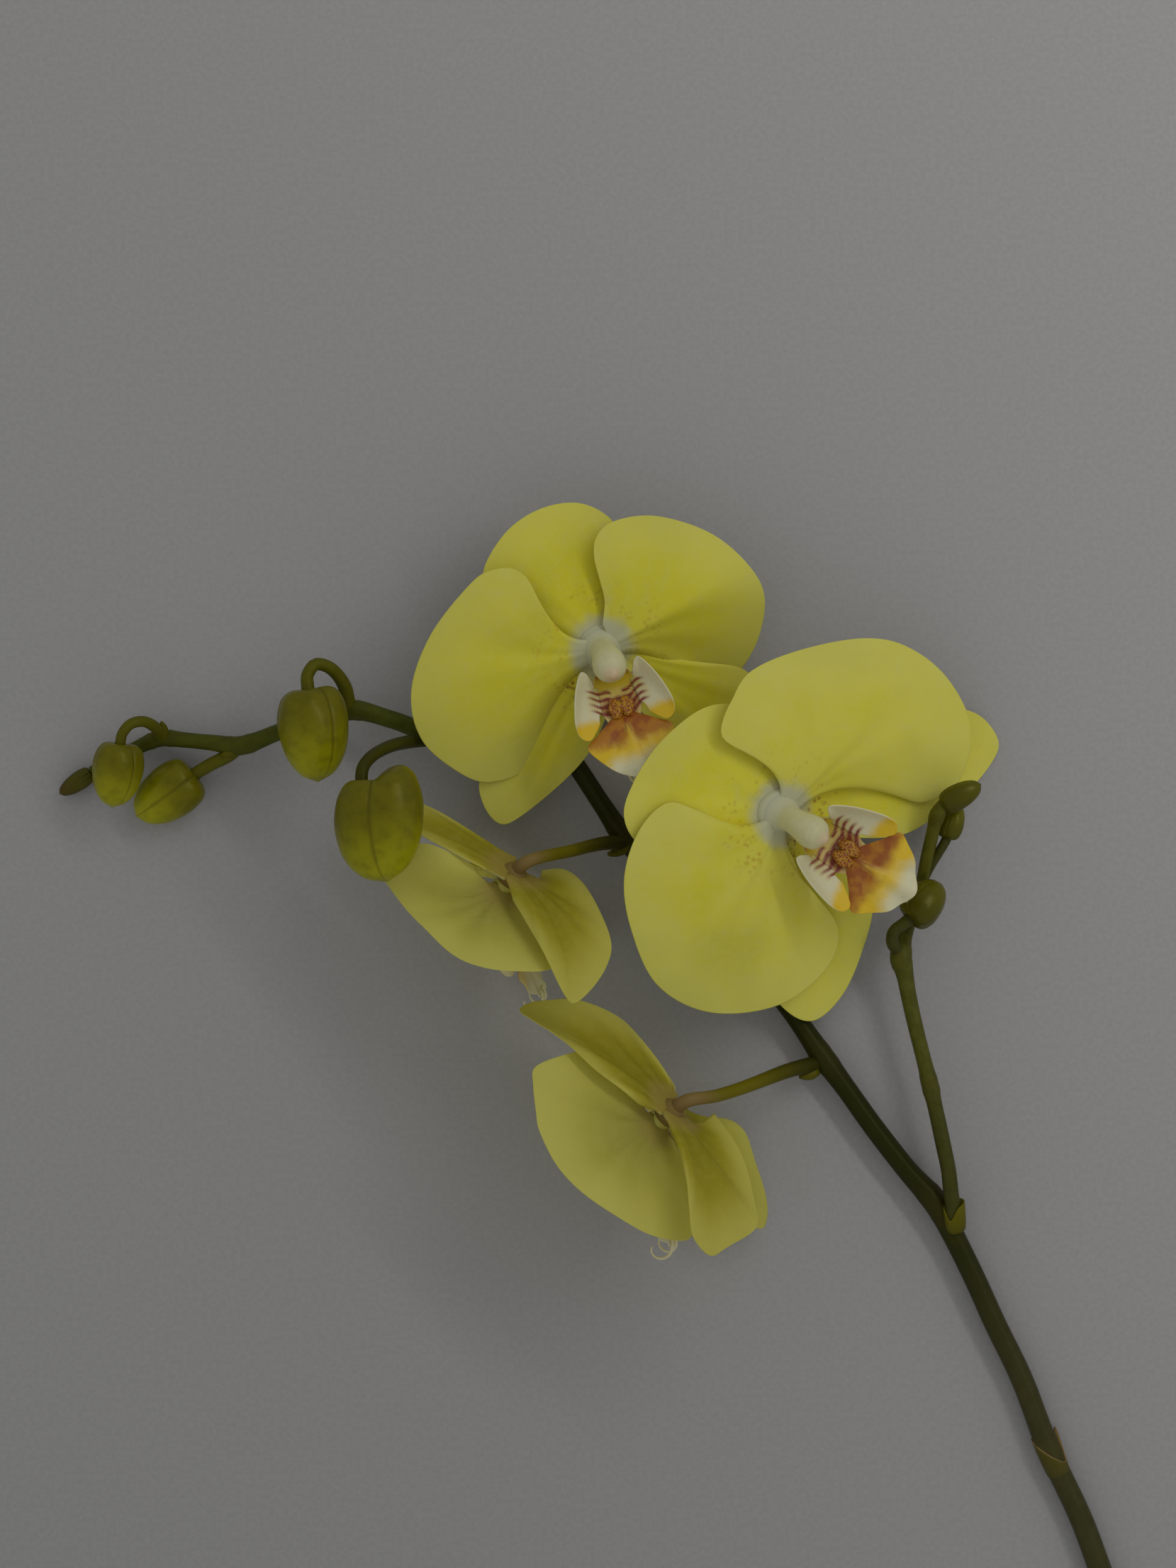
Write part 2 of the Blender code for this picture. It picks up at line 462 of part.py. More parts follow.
# Lip and column, in the flower's own frame: millimetres to its right, up and to its front
COLUMN_AXIS = [(0.0, 0.3, 1.0), (0.0, 0.2, 3.5), (0.0, -0.3, 6.0), (0.0, -1.4, 8.6), (0.0, -2.8, 11.0),
               (0.0, -3.9, 13.0), (0.0, -4.6, 14.4)]
COLUMN_RADII = [2.8, 2.5, 2.7, 3.3, 3.9, 3.5, 1.2]
COLUMN_SIDES = 10
LIP_ROOT = (0.0, -3.7, 2.0)   # the only place of the lip that doesn't grow with its size
LIP_CLAW = [(0.0, -6.8, 4.6), (0.0, -9.8, 7.4), (0.0, -13.4, 10.4)]
LIP_CLAW_RADII = [1.3, 1.7, 2.3, 2.2]
CALLUS_CENTRE = (0.0, -12.8, 10.8)
CALLUS_AXIS = (0.0, -0.45, 0.9)
CALLUS_RADIUS = 2.5
MIDLOBE_ROOT = (0.0, -12.9, 9.9)
MIDLOBE_RIM = [
    (-6.8, -16.6, 13.6), (-10.0, -18.6, 15.0), (-8.4, -21.8, 16.4),
    (-5.0, -25.4, 18.0), (-1.8, -27.2, 18.8), (1.8, -27.2, 18.8), (5.0, -25.4, 18.0),
    (8.4, -21.8, 16.4), (10.0, -18.6, 15.0), (6.8, -16.6, 13.6)]
MIDLOBE_CROWN = 0.8
MIDLOBE_COLUMNS = 8
SIDE_LOBE_ROOT = (1.5, -9.9, 7.5)
SIDE_LOBE_RIM = [
    (4.6, -4.0, 8.6), (6.4, -3.2, 10.0), (8.8, -7.0, 12.4), (11.4, -11.4, 15.4),
    (12.2, -14.6, 16.8), (10.6, -16.6, 16.4), (7.4, -15.4, 13.4)]
SIDE_LOBE_FOOT = (0.0, -0.72, 0.69)   # direction of its foot's line
SIDE_LOBE_BACK = (0.8, 0.4, -0.45)    # direction it bulges to
SIDE_LOBE_CROWN = 1.0
SIDE_LOBE_COLUMNS = 6
LOBE_THICKNESS = 1.0
LOBE_CLAW = 2.6               # width of a lobe's foot
LOBE_ROWS = 3
TENDRIL_START = (1.1, -25.6, 18.1)    # the two thin tendrils at the end of the lip
TENDRIL_RADIUS = 0.5
TENDRIL_SPREAD = (2.2, -1.5)  # how far they run aside and on, apart from their curl
TENDRIL_CURL = 2.7            # radius of their curl
TENDRIL_TURN = 4.2            # how far they curl, in radians
TENDRIL_RINGS = 6


def flower_frame(flower):
    """Columns are the flower's own right, up and front."""
    front = unit(np.array(flower["facing"]))
    up = np.array(flower["up"])
    up = unit(up - front * np.dot(up, front))
    return np.stack([np.cross(up, front), up, front], axis=1)


def in_flower(flower, frame, local):
    """Points of the flower's own frame, in millimetres, as places in the part's frame."""
    return place(*flower["hub"]) + np.asarray(local, float) * MM @ frame.T


def rim_places(flower, frame, rim):
    """Landmarks of a rim as places; their heights count from the hub or from the flower's plane."""
    hub = place(*flower["hub"])
    base = flower["hub"][2]
    result = []
    for column, row, height in rim:
        level = base
        if flower["leaning"]:
            for _ in range(3):
                away = place(column, row, level) - hub
                level = base - (frame[0, 2] * away[0] + frame[1, 2] * away[1]) / frame[2, 2] / MM
        result.append(place(column, row, level + height))
    return np.array(result)


def tepal_surface(flower, frame, blade, is_petal, rows, columns):
    """Middle surface of a sepal or petal."""
    direction, rise, crown, rim = blade
    angle = np.radians(direction)
    ring = CLAW_RING / MM
    root = in_flower(flower, frame, (ring * np.cos(angle), ring * np.sin(angle), rise))
    claw = frame @ (-np.sin(angle), np.cos(angle), 0.0) * CLAW_WIDTH
    rib = (PETAL_RIB if is_petal else SEPAL_RIB) * MM
    surface = blade_surface(root, rim_places(flower, frame, rim), claw, rows, columns, frame[:, 2],
                            crown * MM, rib)
    return settle(surface, TEPAL_THICKNESS)


def build_tepals(name, flower, frame):
    """The three sepals and two petals of a flower."""
    for tepal in TEPALS:
        is_petal = tepal.endswith("petal")
        surface = tepal_surface(flower, frame, flower[tepal], is_petal, TEPAL_ROWS, TEPAL_COLUMNS)
        item = thicken(f"{name}_{tepal}", surface, TEPAL_THICKNESS)
        finish(item, PETAL_FINISH if is_petal else SEPAL_FINISH)


def nodded(flower, frame):
    """The frame of the lip and column, which lean down from the flower's own front."""
    nod = np.radians(flower["lip"][0])
    tilt = np.array([[1, 0, 0], [0, np.cos(nod), -np.sin(nod)], [0, np.sin(nod), np.cos(nod)]])
    return frame @ tilt


def build_column(name, flower, frame):
    """The column: a short stalk that swells into a rounded cap over the anther."""
    axis = in_flower(flower, nodded(flower, frame), COLUMN_AXIS)
    rings = rings_along(axis, np.array(COLUMN_RADII) * MM, COLUMN_SIDES)
    finish(skin(f"{name}_column", rings), COLUMN_FINISH)


def build_lip(name, flower, frame):
    """The lip: a claw with a callus, a pointed middle lobe, two upright side lobes and two tendrils.

    The three numbers of the lip are how far it nods down in degrees, its size, and whether its tendrils
    curl to the front or, if negative, under it.
    """
    _, size, curl = flower["lip"]
    turned = nodded(flower, frame)

    def spot(local):
        return in_flower(flower, turned, np.asarray(local, float) * size)

    claw_path = np.vstack([in_flower(flower, turned, LIP_ROOT), spot(LIP_CLAW)])
    claw = skin("claw", rings_along(claw_path, np.array(LIP_CLAW_RADII) * size * MM, 8))
    callus = ball("callus", spot(CALLUS_CENTRE), turned @ CALLUS_AXIS, CALLUS_RADIUS * size * MM, 8, 4)
    pieces = [claw, callus]
    middle = blade_surface(spot(MIDLOBE_ROOT), spot(MIDLOBE_RIM), turned[:, 0] * LOBE_CLAW * MM,
                           LOBE_ROWS, MIDLOBE_COLUMNS, turned[:, 2], MIDLOBE_CROWN * MM)
    pieces.append(thicken("middle_lobe", middle, LOBE_THICKNESS * MM))
    for hand in (-1, 1):
        mirror = np.array([hand, 1, 1])
        lobe = blade_surface(spot(SIDE_LOBE_ROOT * mirror), spot(SIDE_LOBE_RIM * mirror),
                             turned @ SIDE_LOBE_FOOT * LOBE_CLAW * MM, LOBE_ROWS, SIDE_LOBE_COLUMNS,
                             turned @ (SIDE_LOBE_BACK * mirror), SIDE_LOBE_CROWN * MM)
        pieces.append(thicken("side_lobe", lobe, LOBE_THICKNESS * MM))
        t = np.linspace(0, 1, TENDRIL_RINGS)
        bend = TENDRIL_TURN * t
        run = np.stack([TENDRIL_SPREAD[0] * t, TENDRIL_SPREAD[1] * t - TENDRIL_CURL * np.sin(bend),
                        curl * TENDRIL_CURL * (1 - np.cos(bend))], axis=1)
        radii = np.linspace(1.2, 0.8, TENDRIL_RINGS) * TENDRIL_RADIUS * MM
        pieces.append(skin("tendril", rings_along(spot((TENDRIL_START + run) * mirror), radii, 4)))
    finish(fuse(f"{name}_lip", pieces, solver="MANIFOLD"), LIP_FINISH)


def build_bud(name, bud):
    """A closed bud turned from a profile round its axis, with a seam between each two sepals.

    The profile leaves the stalk's end, rises round a shoulder that may stand above it, is widest at
    two fifths of the length and closes in a blunt tip.
    """
    start, tip, width, depth, shoulder, lean = bud
    rings, sides = (6, 8) if width < SMALL_BUD else (9, 12)
    foot, end = place(*start), place(*tip)
    axis = end - foot
    length = np.linalg.norm(axis) - GAP
    axis = unit(axis)
    rise = shoulder * MM / length
    profile = curve_through([(0.24, 0.0), (0.50, -0.75 * rise), (0.86, 0.08 - 0.4 * rise), (1.0, 0.40),
                             (0.88, 0.68), (0.50, 0.92), (0.08, 1.0)], rings)
    flat = unit(np.cross((0.0, 0.0, 1.0), axis))
    upright = np.cross(flat, axis)
    angles = np.linspace(0, 2 * np.pi, sides, endpoint=False)
    seams = sum(np.exp(-(np.sin((angles - seam) / 2) / BUD_SEAM_REACH) ** 2) for seam in BUD_SEAMS)
    reach = 1 - BUD_SEAM_DEPTH * seams
    wide = (width / 2 * MM * np.cos(angles) * reach)[None, :, None] * flat
    tall = (depth / 2 * MM * np.sin(angles) * reach)[None, :, None] * upright
    along = profile[:, 1, None, None]
    sideways = lean * MM * np.clip(along, 0, 1) * (1 - np.clip(along, 0, 1)) * 4
    rings_of_bud = (foot + GAP * axis + along * length * axis + sideways * flat
                    + profile[:, 0, None, None] * (wide + tall))
    finish(skin(name, rings_of_bud), BUD_FINISH)


def stem_tube(name, route, radii, swellings, sides):
    """A stem along its route, thicker round each swollen node."""
    count = int(round(np.linalg.norm(np.diff(places(route), axis=0), axis=1).sum() / STEM_STEP))
    path = curve_through(places(route), count)
    radius = np.interp(np.linspace(0, 1, count + 1), np.linspace(0, 1, len(radii)), radii)
    for landmark, extra, reach in swellings:
        away = np.linalg.norm(path - place(*landmark), axis=1) / MM
        radius = radius + extra * np.exp(-(away / reach) ** 2)
    return skin(name, rings_along(path, radius * MM, sides))


def build_stem():
    """The main stem with its nodes, bracts, and the stalks of the flowers and buds."""
    pieces = [stem_tube("main", MAIN_STEM, MAIN_STEM_RADII, STEM_NODES, STEM_SIDES)]
    for name, (route, radii) in FLOWER_STALKS.items():
        flower = FLOWERS[name]
        frame = flower_frame(flower)
        path = np.vstack([places(route[:-1]), in_flower(flower, frame, (0, 0, RECEPTACLE_ROOT))])
        pieces.append(tube("flower_stalk", path, np.array(radii) * MM, STALK_SIDES, STALK_STEP))
        heights, base_radii = zip(*RECEPTACLE)
        base = in_flower(flower, frame, [(0, 0, height) for height in heights])
        pieces.append(skin("receptacle", rings_along(base, np.array(base_radii) * MM, STEM_SIDES)))
    for route, radii in BUD_STALKS.values():
        pieces.append(tube("bud_stalk", places(route), np.array(radii) * MM, STALK_SIDES, STALK_STEP))
    for route, width in BRACTS:
        pieces.append(tube("bract", places(route), np.array(BRACT_SHAPE) * width * MM, 7, STALK_STEP))
    finish(fuse("main_stem", pieces, solver="MANIFOLD"), STEM_FINISH)


def build_side_branch():
    """The side branch, which rises from the axil of the largest bract."""
    pieces = [stem_tube("branch", SIDE_BRANCH, SIDE_BRANCH_RADII, SIDE_NODES, STALK_SIDES)]
    for route, radii in SIDE_STALKS:
        pieces.append(tube("bud_stalk", places(route), np.array(radii) * MM, STALK_SIDES, SIDE_STALK_STEP))
    finish(fuse("side_branch", pieces), BRANCH_FINISH)


def main():
    """Clear the scene and build every piece."""
    for item in list(bpy.data.objects):
        bpy.data.objects.remove(item)
    build_stem()
    build_side_branch()
    for name, bud in BUDS.items():
        build_bud(name, bud)
    for name, flower in FLOWERS.items():
        frame = flower_frame(flower)
        build_tepals(name, flower, frame)
        build_column(name, flower, frame)
        build_lip(name, flower, frame)


main()
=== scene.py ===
# %% [markdown]
# # A cut stem of a yellow moth orchid
# The stem lies on a table and is seen from straight above. Its plain solids, 38 nodes, come in as a
# frame. This lesson replaces each of them with a finer surface of the same form and gives it a finish.
#
# Everything that grew is made in one way: a surface is a function of two numbers on a grid, worked out
# with numpy as whole arrays, and a mesh takes those arrays in one call. Sculpting by hand would also
# work, but a formula can be read, repeated for twenty petals and sepals, and changed by one value.

# %% The frame
import math

import bpy
import numpy as np
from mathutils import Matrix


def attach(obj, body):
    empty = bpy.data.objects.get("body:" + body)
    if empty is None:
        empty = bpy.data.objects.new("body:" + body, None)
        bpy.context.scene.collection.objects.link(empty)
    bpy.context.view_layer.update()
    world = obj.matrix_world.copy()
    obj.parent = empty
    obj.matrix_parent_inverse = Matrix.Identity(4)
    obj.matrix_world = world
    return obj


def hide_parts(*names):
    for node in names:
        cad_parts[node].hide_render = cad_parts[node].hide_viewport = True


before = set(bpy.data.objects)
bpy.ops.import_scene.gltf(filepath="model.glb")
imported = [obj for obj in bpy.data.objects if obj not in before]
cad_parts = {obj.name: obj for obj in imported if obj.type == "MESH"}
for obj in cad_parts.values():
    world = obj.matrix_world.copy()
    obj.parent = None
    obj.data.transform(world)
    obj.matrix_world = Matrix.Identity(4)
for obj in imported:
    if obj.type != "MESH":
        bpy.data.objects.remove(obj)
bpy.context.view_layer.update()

MM = 0.001
print("nodes in the frame:", len(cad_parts))

# %% [markdown]
# ## From the photograph to places
# A landmark is (column, row, height): a pixel of the photograph and a height above the table in
# millimetres. The eye looks straight down, so a pixel and a height give one place, by similar
# triangles.

# %% The view
PHOTO_SIZE = (1659, 2212)
PIXEL = 0.16 * MM             # width of one pixel at the reference height
REFERENCE_HEIGHT = 30 * MM
EYE_HEIGHT = 1100 * MM
VIEW_CENTRE = (829.5, 1106.0)
ORIGIN_PIXEL = (886.4, 1627.6)   # this pixel's place on the table is the origin
TABLE_PIXEL = PIXEL * EYE_HEIGHT / (EYE_HEIGHT - REFERENCE_HEIGHT)


def place(column, row, height):
    """The point at a height in millimetres that shows at a pixel.

    A pixel's width there is the reference width times the point's distance from the eye over the
    reference distance. The pixel's offset from the view's centre times that width is the offset from
    the eye's axis.
    """
    z = height * MM
    pixel = PIXEL * (EYE_HEIGHT - z) / (EYE_HEIGHT - REFERENCE_HEIGHT)
    x = (column - VIEW_CENTRE[0]) * pixel - (ORIGIN_PIXEL[0] - VIEW_CENTRE[0]) * TABLE_PIXEL
    y = (VIEW_CENTRE[1] - row) * pixel - (VIEW_CENTRE[1] - ORIGIN_PIXEL[1]) * TABLE_PIXEL
    return np.array([x, y, z])


def places(landmarks):
    """The points of a list of landmarks."""
    return np.array([place(*landmark) for landmark in landmarks])


def unit(vector):
    """A vector over its own length."""
    return vector / np.linalg.norm(vector)


def units(vectors):
    """Each vector of an array over its own length."""
    return vectors / np.maximum(np.linalg.norm(vectors, axis=-1, keepdims=True), 1e-12)


# %% [markdown]
# ## Camera, floor and light
# The camera stands at the eye's place. Its vertical angle is twice the arc tangent of half the frame's
# height over the distance. The floor is a plain pale board, and the light is soft: one large lamp from
# the upper right, as the shadows in the photograph tell, a weak one from the left, and a dim sky.

# %% Camera
camera_data = bpy.data.cameras.new("camera")
camera = bpy.data.objects.new("camera", camera_data)
bpy.context.scene.collection.objects.link(camera)
camera.location = ((VIEW_CENTRE[0] - ORIGIN_PIXEL[0]) * TABLE_PIXEL,
                   (ORIGIN_PIXEL[1] - VIEW_CENTRE[1]) * TABLE_PIXEL, EYE_HEIGHT)
camera_data.sensor_fit = "VERTICAL"
half_height = PHOTO_SIZE[1] / 2 * PIXEL
camera_data.angle = 2 * math.atan(half_height / (EYE_HEIGHT - REFERENCE_HEIGHT))
camera_data.clip_start = 0.01
camera_data.clip_end = 50
bpy.context.scene.camera = camera
bpy.context.scene.view_settings.view_transform = "Standard"
print("vertical angle of view:", round(math.degrees(camera_data.angle), 2), "degrees")


# %% Lamps and sky
def lamp(name, location, target, size, power, colour):
    """A square area lamp at a place, turned to a target. A bigger lamp throws softer shadows."""
    data = bpy.data.lights.new(name, "AREA")
    data.size = size
    data.energy = power
    data.color = colour
    item = bpy.data.objects.new(name, data)
    bpy.context.scene.collection.objects.link(item)
    item.location = location
    direction = np.array(target, float) - np.array(location, float)
    yaw = math.atan2(direction[1], direction[0])
    pitch = math.acos(-direction[2] / np.linalg.norm(direction))
    item.rotation_euler = (0, -pitch, yaw + math.pi)
    item.visible_camera = False


KEY_POWER = 22.8
FILL_POWER = 4.0
SKY_STRENGTH = 0.36
PLANT_CENTRE = (0.0, 0.06, 0.02)
lamp("key", (0.85, 0.75, 1.25), PLANT_CENTRE, 1.1, KEY_POWER, (1.0, 0.985, 0.95))
lamp("fill", (-1.0, 0.1, 1.0), PLANT_CENTRE, 1.2, FILL_POWER, (0.95, 0.98, 1.0))
world = bpy.data.worlds.new("sky")
world.use_nodes = True
world.node_tree.nodes["Background"].inputs["Color"].default_value = (1.0, 1.0, 1.0, 1)
world.node_tree.nodes["Background"].inputs["Strength"].default_value = SKY_STRENGTH
bpy.context.scene.world = world

# %% [markdown]
# ## Helpers for materials
# A node material is a small program. These helpers add one node per line, so that a finish reads from
# top to bottom as: where am I on the petal, how much of each colour is here, how rough is it.


# %% Material helpers
def new_material(name):
    """A material with its node tree and its Principled shader."""
    item = bpy.data.materials.new(name)
    item.use_nodes = True
    return item, item.node_tree, item.node_tree.nodes["Principled BSDF"]


def add(tree, kind, inputs=None, **settings):
    """A node of one kind, with its settings, and inputs that are numbers or other nodes' outputs."""
    item = tree.nodes.new("ShaderNode" + kind)
    for key, value in settings.items():
        setattr(item, key, value)
    for key, value in (inputs or {}).items():
        if isinstance(value, bpy.types.NodeSocket):
            tree.links.new(value, item.inputs[key])
        else:
            item.inputs[key].default_value = value
    return item


def maths(tree, operation, *values):
    """The result of one Math node."""
    return add(tree, "Math", dict(enumerate(values)), operation=operation).outputs[0]


def ramp(tree, value, low, high, start=0.0, end=1.0):
    """Smoothly from start to end as a value goes from low to high."""
    inputs = {"Value": value, "From Min": low, "From Max": high, "To Min": start, "To Max": end}
    return add(tree, "MapRange", inputs, interpolation_type="SMOOTHSTEP").outputs["Result"]


def mix(tree, share, first, second):
    """The first colour where the share is 0 and the second where it is 1."""
    item = add(tree, "Mix", {0: share}, data_type="RGBA")
    for index, colour in ((6, first), (7, second)):
        if isinstance(colour, bpy.types.NodeSocket):
            tree.links.new(colour, item.inputs[index])
        else:
            item.inputs[index].default_value = (*colour, 1)
    return item.outputs[2]


def layers(tree, colour, *coats):
    """A colour under its coats, each given as a share and a colour of its own, the lowest first."""
    for share, coat in coats:
        colour = mix(tree, share, colour, coat)
    return colour


def noise(tree, vector, scale, detail=2.0):
    """Soft random blotches, about 1/scale metres across, as a number near 0.5."""
    inputs = {"Vector": vector, "Scale": scale, "Detail": detail}
    return add(tree, "TexNoise", inputs).outputs["Fac"]


def pattern(tree, vector, scale, detail, low, high, share=1.0):
    """Blotches: nothing where the noise is under low, the whole share where it is over high."""
    return ramp(tree, noise(tree, vector, scale, detail), low, high, 0.0, share)


def dots(tree, vector, scale, core, edge, strength=1.0):
    """A round dot in each cell, full up to the distance core from its middle and gone at the edge."""
    cells = add(tree, "TexVoronoi", {"Vector": vector, "Scale": scale}, feature="F1")
    return ramp(tree, cells.outputs["Distance"], core, edge, strength, 0.0)


def times(tree, first, second):
    """The product of two numbers."""
    return maths(tree, "MULTIPLY", first, second)


def plus(tree, first, second):
    """The sum of two numbers."""
    return maths(tree, "ADD", first, second)


def centred(tree, value, spread):
    """A number near 0.5 as one near 0, times a spread."""
    return times(tree, maths(tree, "SUBTRACT", value, 0.5), spread)


def rest(tree, share):
    """What a share leaves: 1 minus the share."""
    return maths(tree, "SUBTRACT", 1.0, share)


def place_and_masks(tree):
    """A point's place in the piece's own coordinates, and its four masks."""
    position = add(tree, "TexCoord").outputs["Object"]
    attribute = add(tree, "Attribute", attribute_name="masks")
    parts = add(tree, "SeparateColor", {0: attribute.outputs["Color"]}).outputs
    return position, parts[0], parts[1], parts[2], attribute.outputs["Alpha"]


def gloss(shader, roughness, level=0.5, tint=(1.0, 1.0, 1.0)):
    """How dull the skin is, and how strong and of what colour its highlights are."""
    shader.inputs["Roughness"].default_value = roughness
    shader.inputs["Specular IOR Level"].default_value = level
    shader.inputs["Specular Tint"].default_value = (*tint, 1)


def under_skin(shader, weight, reach, depth):
    """Light that spreads under the skin: its share, reach in each colour and depth in metres."""
    shader.inputs["Subsurface Weight"].default_value = weight
    shader.inputs["Subsurface Radius"].default_value = reach
    shader.inputs["Subsurface Scale"].default_value = depth


def bump(tree, shader, height, depth):
    """A relief of the given depth in metres, for the light only."""
    item = add(tree, "Bump", {"Height": height, "Distance": depth, "Strength": 1.0})
    tree.links.new(item.outputs["Normal"], shader.inputs["Normal"])


# %% Floor
FLOOR_SIZE = 12.0
FLOOR_COLOUR = (0.41, 0.405, 0.402)
FLOOR_SPOTS = (900.0, 4.0, 0.3, 0.7)   # spots to a metre, their detail, where they begin and are full
FLOOR_UNEVEN = 0.04           # how much lighter and darker the spots are, as a share
floor_material, tree, shader = new_material("pale_board")
spots = pattern(tree, add(tree, "TexCoord").outputs["Object"], *FLOOR_SPOTS)
speckled = mix(tree, spots, [(1 - FLOOR_UNEVEN) * c for c in FLOOR_COLOUR],
               [(1 + FLOOR_UNEVEN) * c for c in FLOOR_COLOUR])
tree.links.new(speckled, shader.inputs["Base Color"])
gloss(shader, 0.8)
floor_mesh = bpy.data.meshes.new("floor")
h = FLOOR_SIZE / 2
floor_mesh.from_pydata([(-h, -h, 0), (h, -h, 0), (h, h, 0), (-h, h, 0)], [], [(0, 1, 2, 3)])
floor_mesh.materials.append(floor_material)
floor = bpy.data.objects.new("floor", floor_mesh)
bpy.context.scene.collection.objects.link(floor)
print("floor:", FLOOR_SIZE, "m square")

# %% [markdown]
# ## Helpers for surfaces
# A surface is an array of points, rows by columns. A shell is a closed skin: its points, its
# triangles, a place on the surface for each point (uv) and four masks, numbers that a material reads,
# most of them from 0 to 1, such as how near a point is to a node of the stem. One piece may hold
# several shells, as a lip does with its lobes.


# %% Curves
CURVE_STEPS = 16              # steps between two landmarks while a curve is worked out


def curve_through(points, count):
    """A smooth curve through the points, read at count + 1 places an equal way apart.

    Each stretch between two points is a cubic whose slopes at its ends follow the points before and
    after it.
    """
    points = np.asarray(points, float)
    before = np.vstack([2 * points[0] - points[1], points[:-1]])
    after = np.vstack([points[1:], 2 * points[-1] - points[-2]])
    slopes = (after - before) / 2
    t = np.linspace(0, 1, CURVE_STEPS + 1)[:, None, None]
    a, b, va, vb = points[:-1], points[1:], slopes[:-1], slopes[1:]
    dense = ((2 * t**3 - 3 * t**2 + 1) * a + (t**3 - 2 * t**2 + t) * va
             + (3 * t**2 - 2 * t**3) * b + (t**3 - t**2) * vb)
    dense = np.vstack([dense[:-1].transpose(1, 0, 2).reshape(-1, points.shape[1]), points[-1:]])
    way = np.concatenate([[0], np.cumsum(np.linalg.norm(np.diff(dense, axis=0), axis=1))])
    wanted = np.linspace(0, way[-1], count + 1)
    return np.stack([np.interp(wanted, way, axis) for axis in dense.T], axis=1)


def hump(x, centre, reach):
    """A smooth bell: e to the minus square of the distance from the centre over the reach."""
    return np.exp(-((x - centre) / reach) ** 2)


def ease(x, low, high):
    """0 below low, 1 above high, and a smooth step between them: 3 t squared minus 2 t cubed."""
    t = np.clip((x - low) / (high - low), 0, 1)
    return t * t * (3 - 2 * t)


# %% Shells
def grid_triangles(rows, columns, wrap=False):
    """Two triangles for each cell of a grid; with wrap, the last column joins the first."""
    width = columns if wrap else columns + 1
    i, j = np.meshgrid(np.arange(rows), np.arange(columns), indexing="ij")
    a = i * width + j
    b = i * width + (j + 1) % width
    c, d = b + width, a + width
    halves = np.stack([a, b, c], -1), np.stack([a, c, d], -1)
    return np.concatenate([half.reshape(-1, 3) for half in halves])


def shell(points, triangles, uv, masks):
    """A closed skin as arrays, turned outwards: if its volume is negative, its triangles are flipped.

    The volume is the sum over triangles of corner a dotted with b cross c, over six.
    """
    a, b, c = (points[triangles[:, k]] for k in range(3))
    if np.einsum("ij,ij->i", a - points[0], np.cross(b - points[0], c - points[0])).sum() < 0:
        triangles = triangles[:, ::-1]
    return points, triangles, uv, masks


def make_piece(name, shells, node, material):
    """One object from its shells, in place of a node of the frame."""
    points, triangles, uv, masks = zip(*shells)
    starts = np.cumsum([0] + [len(part) for part in points[:-1]])
    triangles = np.concatenate([part + start for part, start in zip(triangles, starts)])
    points, uv, masks = np.concatenate(points), np.concatenate(uv), np.concatenate(masks)
    mesh = bpy.data.meshes.new(name)
    mesh.vertices.add(len(points))
    mesh.vertices.foreach_set("co", points.astype(np.float32).ravel())
    mesh.loops.add(triangles.size)
    mesh.loops.foreach_set("vertex_index", triangles.astype(np.int32).ravel())
    mesh.polygons.add(len(triangles))
    mesh.polygons.foreach_set("loop_start", np.arange(0, triangles.size, 3, dtype=np.int32))
    mesh.update(calc_edges=True)
    layer = mesh.uv_layers.new(name="surface")
    layer.data.foreach_set("uv", uv[triangles.ravel()].astype(np.float32).ravel())
    attribute = mesh.color_attributes.new("masks", "FLOAT_COLOR", "POINT")
    attribute.data.foreach_set("color", masks.astype(np.float32).ravel())
    mesh.shade_smooth()
    mesh.materials.append(material)
    item = bpy.data.objects.new(name, mesh)
    bpy.context.scene.collection.objects.link(item)
    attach(item, "root")
    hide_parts(node)


# %% Blades
RAY_BEND = 0.45               # how far along a ray, as a share, it keeps to the blade's length
RIB_REACH = 0.10              # half width of a midrib, as a share of the rim
MEAN_REACH = 0.4              # how far from the claw the normals still lean to their mean


def shares(rows, columns):
    """u from claw to rim, closer together near the rim, and v along the rim.

    u is 1 minus (1 - s) to the power 1.5, with s and v in even steps from 0 to 1.
    """
    u = 1 - (1 - np.linspace(0, 1, rows + 1)[:, None]) ** 1.5
    return u, np.linspace(0, 1, columns + 1)[None, :]


def blade_surface(root, rim, claw, rows, columns, normal, crown, rib=0.0):
    """The middle surface of a sepal, petal or lobe.

    The rim is a smooth curve by landmarks, and the claw a short line through the root. A ray is a curve
    with three control points: its foot on the claw, a bend part of the way along the blade's length,
    and its place on the rim. The surface is lifted along the normal: crown times sin(pi u), which fades
    towards both sides, and rib times sin(pi u) times a narrow bell about the middle ray.
    """
    edge = curve_through(rim, columns)
    across = claw if np.dot(claw, edge[-1] - edge[0]) > 0 else -claw
    u, v = (share[..., None] for share in shares(rows, columns))
    foot = root + across * (v - 0.5)
    length = np.linalg.norm(edge - foot, axis=2, keepdims=True)
    bend = foot + RAY_BEND * length * unit(edge.mean(axis=0) - root)
    surface = (1 - u) ** 2 * foot + 2 * u * (1 - u) * bend + u ** 2 * edge
    dome = crown * np.sin(np.pi * u) * (1 - np.abs(2 * v - 1) ** 2.5)
    ridge = rib * np.sin(np.pi * u) * hump(v, 0.5, RIB_REACH)
    return surface + normal * (dome + ridge)


def surface_normals(surface):
    """Unit normals of a grid of points: the cross product of its slopes along rows and columns."""
    return units(np.cross(np.gradient(surface, axis=0), np.gradient(surface, axis=1)))


